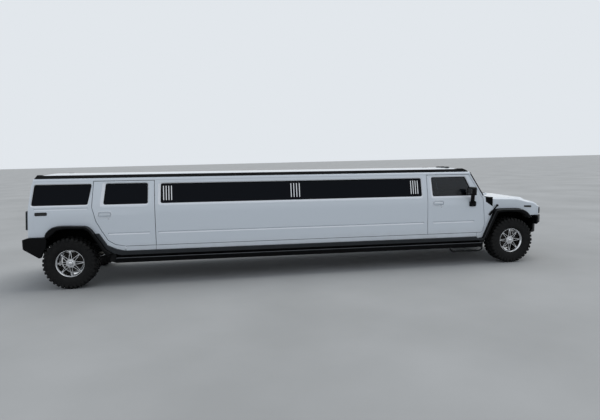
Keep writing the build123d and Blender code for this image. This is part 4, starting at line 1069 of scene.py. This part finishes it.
# These two rubber pieces are partly gap closers and partly painted shade, dark where the shade under the car
# falls.
level_solid(flaps, [(-7486, 350), (-7372, 322), (-7372, 540), (-7440, 540)], 905, 962, 4)
level_solid(flaps, [(-650, 505), (-566, 505), (-546, 446), (-592, 398), (-650, 410)], 900, 984, 6)
finish_piece(both_sides(flaps), "splash_flaps", seal_rubber)
round_bar(steps, eased([(-1240, 930, 372), (-1240, 985, 270), (-1150, 992, 258), (-680, 992, 258),
                        (-590, 985, 282), (-590, 930, 372)], 8), 15)
level_solid(steps, oblong(-1120, -720, 975, 1012), 268, 279, 4, 2, "z")
finish_piece(both_sides(steps), "step_hoops", gloss_black)

# %% [markdown]
# ## Headlamps
# A round headlamp is a chrome bezel, a polished bowl with a bulb at its heart, and a domed glass. All are
# bodies of revolution, spun from their sections and placed on the slanted front. The corner lamps are dark
# lenses let into the panel's ends, and the fog lamps hang in the bumper.

# %% Sections of the round lamps
BEZEL = [(69, 2), (72, 9), (78, 12), (85, 9), (88, 1), (86, -4), (77, -6), (71, -4)]
BOWL = [(0, -34), (20, -33), (42, -24), (60, -10), (70, 0), (73, -3), (62, -15), (43, -29), (20, -36),
        (0, -36)]
GLASS = [(0, 21), (24, 19), (46, 13), (62, 6), (71, -1), (72, -4), (61, 3), (45, 10), (24, 16), (0, 18)]
BULB = [(0, -5), (7, -7), (10, -13), (10, -30), (0, -30)]
FOG_BEZEL = [(38, 22), (41, 27), (47, 26), (49, 20), (48, 2), (38, 2)]
FOG_GLASS = [(0, 30), (20, 28), (34, 23), (39, 18), (34, 19), (20, 24), (0, 26)]
FOG_BOWL = [(0, 4), (22, 7), (38, 18), (40, 16), (24, 4), (0, 2)]
FRONT_LAMPS = [
    # place (x, y, z), turn outwards in degrees, chrome sections, glass section, steps
    ((727, 698, 995), 13.5, [BEZEL, BOWL, BULB], GLASS, 64),
    ((800, 585, 800), 0, [FOG_BEZEL, FOG_BOWL], FOG_GLASS, 48),
]


def facing(x, y, z, yaw):
    """Placing matrix of a round part whose outside looks forward, turned outwards by an angle."""
    return Matrix.Translation(at(x, y, z)) @ Matrix.Rotation(-pi / 2 + yaw, 4, "Z")


# %% Headlamps, fog lamps and corner lamps
CORNER_PLAN = [(704, 802), (708, 832), (692, 866), (655, 890), (638, 870), (669, 829), (682, 797)]
chrome_work, glass_work, corner_work = bmesh.new(), bmesh.new(), bmesh.new()
for side, hand in HANDS:
    for (x, y, z), yaw, chrome_parts, cover, count in FRONT_LAMPS:
        spot = facing(x, y * side, z, radians(yaw) * side)
        absorb(chrome_work, turned_part(chrome_parts, count, spot))
        absorb(glass_work, turned_part([cover], count, spot))
level_solid(corner_work, CORNER_PLAN, 934, 1054, 4, 3, "z")
finish_piece(chrome_work, "headlamp_bezels", chrome_plate)
finish_piece(glass_work, "headlamp_glass", lamp_cover, replaces=("headlamps",))
finish_piece(both_sides(corner_work), "corner_lamps", smoked_acrylic)

# %% [markdown]
# ## Front panel's slots
# Each upright slot has a chrome surround, and four bright bars cross behind them in front of a dark mesh.

# %% Slot surrounds and bars
SLOT_PITCH, SLOT_HALF = 138, 44
slots = bmesh.new()
for i in range(-3, 4):
    y = i * SLOT_PITCH
    face_x = 772 - 14 * abs(y) / 560
    ring_solid(slots, frame_outlines(oblong(y - SLOT_HALF, y + SLOT_HALF, 926, 1066), (7, 19), (-2, 12)),
               on_plane("x", face_x - 12), on_plane("x", face_x + 5), 3, 3)
for z in (952, 981, 1011, 1040):
    round_bar(slots, [(709, -480, z), (709, 480, z)], 6)
finish_piece(slots, "slot_surrounds", chrome_plate)

# %% [markdown]
# ## Tail lamps
# A tall lamp stands at each rear corner: three red lens cells and a black frame on one smoked housing. The
# cells lean with the face of the housing.

# %% Tail lamp cells and frames
def on_lamp(out):
    """Placing function for a point of the tail lamp's leaning face, raised off it."""
    return lambda y, z: at(-8808 + 19 * (z - 935) / 315 - out, y, z)


cells, frames = bmesh.new(), bmesh.new()
for z0, z1 in ((946, 1030), (1050, 1136), (1154, 1240)):
    solid(cells, curved_corners(oblong(760, 892, z0, z1), 14), on_lamp(-8), on_lamp(7), 4, 3)
edge = (curved_corners(oblong(742, 908, 932, 1253), 20), curved_corners(oblong(754, 897, 941, 1244), 16))
ring_solid(frames, edge, on_lamp(-14), on_lamp(4), 3)
finish_piece(both_sides(cells), "tail_lamp_cells", red_acrylic)
finish_piece(both_sides(frames), "tail_lamp_frames", gloss_black)

# %% [markdown]
# ## Liftgate's fittings
# The gate carries a chrome pull over its plate recess, a blank plate in a thin frame, a rubber seal round
# the pane and a wiper. They ride on the gate and rise with it.

# %% Pull and blank plate
PLATE = oblong(-158, 158, 940, 1080)
fittings, plate = bmesh.new(), bmesh.new()
solid(fittings, curved_corners(oblong(-176, 176, 1112, 1150), 14), on_tail(14), on_tail(26), 5, 4)
ring_solid(fittings, frame_outlines(PLATE, (8, 14), (0, 8)), on_tail(-14), on_tail(-4))
finish_piece(fittings, "liftgate_pull", chrome_plate, "liftgate")
solid(plate, curved_corners(grown_outline(PLATE, -1), 8), on_tail(-15), on_tail(-9), 1, 1)
finish_piece(plate, "blank_rear_plate", white_paint, "liftgate")

# %% Seal of the gate's pane, and its wiper
def off_tail(rise, y, z, wall_z):
    """Level point at a rise over the tail wall, as that wall stands at a height."""
    return (along(TAIL_WALL, wall_z) - rise, y, z)


GATE_PANE = [(-575, 1345), (575, 1345), (548, 1630), (-548, 1630)]
seal = bmesh.new()
ring_solid(seal, frame_outlines(GATE_PANE, (10, 38), (-14, 18)), on_tail(-9), on_tail(4), 3)
round_bar(seal, [off_tail(2, -60, 1372, 1372), off_tail(30, -60, 1372, 1372)], 18, 20)
round_bar(seal, eased([off_tail(24, -60, 1372, 1372), off_tail(26, 60, 1384, 1380),
                       off_tail(20, 250, 1400, 1400)]), 6)
round_bar(seal, [off_tail(12, -30, 1396, 1395), off_tail(12, 420, 1404, 1400)], 7, 8)
finish_piece(seal, "liftgate_seal_and_wiper", seal_rubber, "liftgate")

# %% [markdown]
# ## Rear bumper and roof's tail
# The bumper carries red reflectors and a ribbed step pad, and a third stop lamp sits under the roof's rear
# edge. The ribs are real bars 7 mm high, since they show on the outline of the step.

# %% Reflectors, step pad and stop lamp
RIBS, RIB_PITCH, RIB_WIDTH = 11, 7, 4
reds, pad = bmesh.new(), bmesh.new()
for y in (560, -560):
    level_solid(reds, curved_corners(oblong(y - 70, y + 70, 700, 732), 8), -8853, -8868, 3, 2, "x")
level_solid(reds, curved_corners(oblong(-150, 150, 1741, 1763), 6), -8660, -8684, 4, 2, "x")
for i in range(RIBS):
    x = -8846 + i * RIB_PITCH
    level_solid(pad, oblong(x, x + RIB_WIDTH, -420, 420), 776, 783, 1, 1, "z")
finish_piece(reds, "reflectors_and_stop_lamp", red_acrylic)
finish_piece(pad, "bumper_step_ribs", black_plastic)

# %% [markdown]
# ## Mirrors, sill and hood vent
# The mirror glass is silvered, so it is drawn as a polished metal plate. A thin strip closes the sill's
# joint below the rear door, and the door's rear seam runs on down the sill. The hood has a raised vent in
# front of the windscreen, a white cowl with black slats.

# %% Mirror glass and sill
MIRROR_PANE = [(1020, 1362), (1174, 1370), (1176, 1478), (1022, 1483)]
for side, hand in HANDS:
    glass = bmesh.new()
    level_solid(glass, curved_corners(grown_outline(MIRROR_PANE, -3), 12), -936.5, -939.5, 1, 2, "x")
    finish_piece(one_side(glass, side), f"mirror_glass_{hand}", chrome_plate, f"front_door_{hand}")
strip, seam = bmesh.new(), bmesh.new()
wall_solid(strip, oblong(-7230, -7196, 528, 607), 6, 0.7, 0)
wall_solid(seam, oblong(-6707, -6702, 528, 607), 3, 0.5, 0)
finish_piece(both_sides(strip), "sill_joint_strips", white_paint, weighted=False)
finish_piece(both_sides(seam), "sill_seams", seal_rubber, weighted=False)

# %% Hood vent
SLATS, SLAT_PITCH = 8, 32
vent, slats = bmesh.new(), bmesh.new()
level_solid(vent, [(-338, -262), (-52, -196), (-52, 196), (-338, 262)], 1262, 1308, 12, 4, "z")
for i in range(SLATS):
    x = -316 + SLAT_PITCH * i
    reach = 232 - 0.23 * (x + 338)
    level_solid(slats, [(x - 6, 1296), (x + 9, 1296), (x + 9, 1306), (x - 1, 1314), (x - 6, 1312)],
                -reach, reach, 1.5)
finish_piece(vent, "hood_vent_cowl", white_paint, "hood")
finish_piece(slats, "hood_vent_slats", black_plastic, "hood")

# %% [markdown]
# ## Padded seats
# The cabin holds two leather seats in front, and a long bench with a back along the lounge's left side and
# across its tail. A stuffed cushion is sewn from flat leather and swells where nothing holds it, which is
# hard to draw by hand. So each kind of cushion starts as a slightly small rounded block, is remeshed into
# even faces, and is then blown up by Blender's cloth solver with a little pressure and no gravity. A cap
# keeps the swelling within the space that the CAD solid holds. Each kind is simulated once, and its copies
# are placed along the bench. The seams are pressed in afterwards, because a remesh would erase them.

# %% Helpers: blocks swollen by the cloth solver
SOLVER_FRAMES, PRESSURE = 20, 4.0
SEAM_WIDTH = 9


def block_between(low, high, radius_mm):
    """Rounded block between two corners, in millimetres about its own origin."""
    bm = bmesh.new()
    bmesh.ops.create_cube(bm, size=1)
    for vert in bm.verts:
        vert.co = Vector([(low[i] if vert.co[i] < 0 else high[i]) / 1000 for i in range(3)])
    bmesh.ops.bevel(bm, geom=bm.edges[:], offset=radius_mm / 1000, offset_type="OFFSET", affect="EDGES",
                    segments=3, profile=0.5, material=-1, clamp_overlap=True)
    return bm


def settled(pad):
    """Mesh of an object as its modifiers leave it, after which they come off."""
    mesh = bpy.data.meshes.new_from_object(pad.evaluated_get(bpy.context.evaluated_depsgraph_get()))
    pad.modifiers.clear()
    return mesh


def swollen_form(bm, name, voxel_mm=10, cap_mm=22):
    """Cushion grown from a block: remeshed, blown up and smoothed."""
    mesh = bpy.data.meshes.new(name)
    bm.to_mesh(mesh)
    bm.free()
    pad = bpy.data.objects.new(name, mesh)
    bpy.context.scene.collection.objects.link(pad)
    grid = pad.modifiers.new("even_faces", "REMESH")
    grid.mode, grid.voxel_size = "VOXEL", voxel_mm / 1000
    bpy.context.view_layer.update()
    pad.data = settled(pad)
    before = [v.co.copy() for v in pad.data.vertices]
    cloth = pad.modifiers.new("leather", "CLOTH")
    cloth.settings.quality = 4
    cloth.settings.use_pressure = True
    cloth.settings.uniform_pressure_force = PRESSURE
    cloth.settings.effector_weights.gravity = 0
    cloth.settings.tension_stiffness = 20
    cloth.point_cache.frame_end = SOLVER_FRAMES
    for frame_number in range(1, SOLVER_FRAMES + 1):
        bpy.context.scene.frame_set(frame_number)
    blown = settled(pad)
    bpy.context.scene.frame_set(1)
    for vert, start in zip(blown.vertices, before):
        move = vert.co - start
        if move.length > cap_mm / 1000:
            vert.co = start + move.normalized() * cap_mm / 1000
    pad.data = blown
    form = bmesh.new()
    form.from_mesh(pad.data)
    used = pad.data
    bpy.data.objects.remove(pad)
    bpy.data.meshes.remove(used)
    bmesh.ops.smooth_vert(form, verts=form.verts, factor=0.5, use_axis_x=True, use_axis_y=True,
                          use_axis_z=True)
    print(name, len(form.verts), "points")
    return form


def press_seam(form, axis, places_mm, depth_mm):
    """Press stitched lines into a cushion across one axis, deepest on the line."""
    for vert in form.verts:
        for place in places_mm:
            off = (vert.co[axis] * 1000 - place) / SEAM_WIDTH
            if abs(off) < 3:
                vert.co -= vert.normal * depth_mm / 1000 * 2.718 ** (-off * off)
    form.normal_update()


def level_place(x, y, z, turn_z=0.0, turn_x=0.0, turn_y=0.0):
    """Placing matrix at a level spot in millimetres, tipped with the body."""
    turned = (Matrix.Rotation(turn_z, 4, "Z") @ Matrix.Rotation(turn_y, 4, "Y")
              @ Matrix.Rotation(turn_x, 4, "X"))
    return Matrix.Translation(at(x, y, z)) @ Matrix.Rotation(NOSE_DOWN, 4, "Y") @ turned


def place_pads(name, pattern, places, stands_for):
    """One padded leather piece from copies of a cushion, in place of a CAD node."""
    together = bmesh.new()
    for place in places:
        one = pattern.copy()
        one.transform(place)
        absorb(together, one)
    piece = finish_piece(together, name, black_leather, replaces=(stands_for,), weighted=False)


# %% Cushions and backs of the benches
seat_pad = swollen_form(block_between((-312, -166, -66), (312, 166, 54), 34), "seat_pad_pattern")
press_seam(seat_pad, 0, (-156, 0, 156), 7)
back_pad = swollen_form(block_between((-312, -46, -128), (312, 40, 128), 30), "back_pad_pattern")
press_seam(back_pad, 0, (-156, 0, 156), 6)
BENCH_X = [-2276 - 650 * i for i in range(7)]
TAIL_Y = (-334, 334)
BENCH_PADS = [
    ("lounge_bench_cushions", seat_pad, [level_place(x, 548, 952) for x in BENCH_X]),
    ("lounge_bench_backs", back_pad, [level_place(x, 788, 1158, turn_x=radians(-9)) for x in BENCH_X]),
    ("tail_bench_cushions", seat_pad, [level_place(-8010, y, 975, turn_z=radians(90)) for y in TAIL_Y]),
    ("tail_bench_backs", back_pad,
     [level_place(-8285, y, 1245, turn_z=radians(90), turn_x=radians(12)) for y in TAIL_Y]),
]
for name, pattern, places in BENCH_PADS:
    place_pads(name, pattern, places, "lounge_seats")
seat_pad.free()
back_pad.free()

# %% [markdown]
# The cushions lie on boxed plinths, carpeted boards screwed to the floor. Each plinth is a flat outline
# raised to a solid, with its edges rounded.

# %% Plinths of the benches
plinths = bmesh.new()
level_solid(plinths, [(-6498, 632), (-6498, 884), (-1952, 884), (-1952, 632)], 372, 866, 8)
level_solid(plinths, [(-6498, 884), (-6498, 1296), (-1952, 1296), (-1952, 884)], 842, 866, 5)
level_solid(plinths, [(-8558, 632), (-8558, 900), (-8468, 1470), (-8430, 1470), (-8400, 905), (-7720, 905),
                      (-7720, 632)], -676, 676, 8)
finish_piece(plinths, "lounge_bench_plinths", cabin_plastic, replaces=("lounge_seats",))

# %% [markdown]
# A front seat has a wide cushion with raised bolsters, a back that hugs the shoulders and a headrest on two
# steel posts. Each of the three is swollen from its own block in the same way, and copied to the other side.

# %% Front cushions, backs and headrests
CUSHION_HALF, CUSHION_BOLSTER = 0.236, 0.026
BACK_HALF, BACK_BOLSTER, BACK_TAPER, BACK_TOP = 0.228, 0.035, 0.16, 0.3
FRONT_Y = (460, -460)
form = block_between((-262, -236, -62), (262, 236, 52), 40)
for vert in form.verts:
    if vert.co.z > 0:
        vert.co.z += CUSHION_BOLSTER * (abs(vert.co.y) / CUSHION_HALF) ** 3
cushion = swollen_form(form, "front_cushion_pattern")
press_seam(cushion, 1, (-150, 150), 9)
press_seam(cushion, 0, (-60, 90), 5)
form = block_between((-46, -228, -300), (40, 228, 300), 38)
for vert in form.verts:
    vert.co.y *= 1 - BACK_TAPER * max(0, vert.co.z / BACK_TOP)
    if vert.co.x > 0:
        vert.co.x += BACK_BOLSTER * (abs(vert.co.y) / BACK_HALF) ** 3
backrest = swollen_form(form, "front_back_pattern")
press_seam(backrest, 1, (-140, 140), 9)
press_seam(backrest, 2, (-90, 60), 5)
headrest = swollen_form(block_between((-34, -104, -74), (30, 104, 74), 28), "headrest_pattern", 8, 12)
press_seam(headrest, 1, (-64, 64), 4)
FRONT_PADS = [
    # name, pattern, x, z, lean in degrees
    ("front_seat_cushions", cushion, -1322, 815, -5),
    ("front_seat_backs", backrest, -1618, 1105, -7.5),
    ("front_headrests", headrest, -1664, 1482, -5),
]
for name, pattern, x, z, lean in FRONT_PADS:
    places = [level_place(x, y, z, turn_y=radians(lean)) for y in FRONT_Y]
    place_pads(name, pattern, places, "front_seats")
    pattern.free()

# %% Mounts and headrest posts
mounts = bmesh.new()
for y in FRONT_Y:
    level_solid(mounts, [(-1500, 632), (-1480, 738), (-1130, 738), (-1110, 632)], y - 190, y + 190, 8)
    for shift in (-58, 58):
        level_solid(mounts, [(-1665, 1385), (-1671, 1440), (-1657, 1441), (-1651, 1385)], y + shift - 7,
                    y + shift + 7, 5)
finish_piece(mounts, "front_seat_mounts", cabin_plastic, replaces=("front_seats",))

# %% [markdown]
# ## Steering wheel and dashboard
# A steering wheel is a padded rim on three spokes, with a soft pad over its hub. The rim is a circle spun
# about the column's axis. The dashboard gets a hooded cluster with two dials, a screen and a row of air
# vents.

# %% Steering wheel
RIM_REACH, RIM_WIDE, RIM_DEEP = 188, 15, 13
HUB_PAD = [(0, 26), (24, 25), (44, 20), (56, 8), (58, -10), (46, -18), (0, -18)]
ARM_OUTLINE = [(46, -20), (184, -11), (184, 11), (46, 20)]
ARM_THICK = 0.018
tilt = radians(28)
wheel_frame = Matrix(((0, -cos(tilt), sin(tilt)), (1, 0, 0), (0, sin(tilt), cos(tilt)))).to_4x4()
wheel_spot = Matrix.Translation(at(-1035, 430, 1195)) @ Matrix.Rotation(NOSE_DOWN, 4, "Y") @ wheel_frame
rim_round = [(RIM_REACH + RIM_WIDE * cos(pi * k / 8), RIM_DEEP * sin(pi * k / 8)) for k in range(16)]
wheel = turned_part([rim_round, HUB_PAD], 64, Matrix.Identity(4))
for turn in (0, pi, -pi / 2):
    arm = bmesh.new()
    face = arm.faces.new([arm.verts.new((x / 1000, -ARM_THICK / 2, z / 1000)) for x, z in ARM_OUTLINE])
    bmesh.ops.translate(arm, vec=(0, ARM_THICK, 0), verts=raised(arm, [face]))
    rounded(arm, 4, 3)
    bmesh.ops.rotate(arm, verts=arm.verts, cent=ORIGIN, matrix=Matrix.Rotation(-turn, 3, "Y"))
    absorb(wheel, arm)
wheel.transform(wheel_spot)
bmesh.ops.recalc_face_normals(wheel, faces=wheel.faces)
finish_piece(wheel, "steering_wheel_detailed", black_leather, BODY_OF["steering_wheel"], ("steering_wheel",))

# %% Cluster, screen and vents
DIAL_RING = [(44, -6), (44, 4), (48, 7), (52, 4), (52, -6)]
dials, chromed = bmesh.new(), bmesh.new()
level_solid(dials, [(-918, 1300), (-912, 1334), (-890, 1344), (-800, 1330), (-800, 1300)], 250, 610, 8, 3)
for y in (365, 495):
    spot = Matrix.Translation(at(-944, y, 1268)) @ Matrix.Rotation(pi / 2, 4, "Z")
    absorb(chromed, turned_part([DIAL_RING], 40, spot))
level_solid(dials, curved_corners(oblong(-100, 100, 1190, 1296), 8), -930, -944, 2, 2, "x")
for y in (-640, -200, 160, 690):
    ring_solid(chromed, frame_outlines(oblong(y - 52, y + 52, 1236, 1288), (4, 13), (0, 10)),
               on_plane("x", -928), on_plane("x", -943))
finish_piece(dials, "dials_hood_and_screen", cabin_plastic)
finish_piece(chromed, "dial_and_vent_rings", chrome_plate)
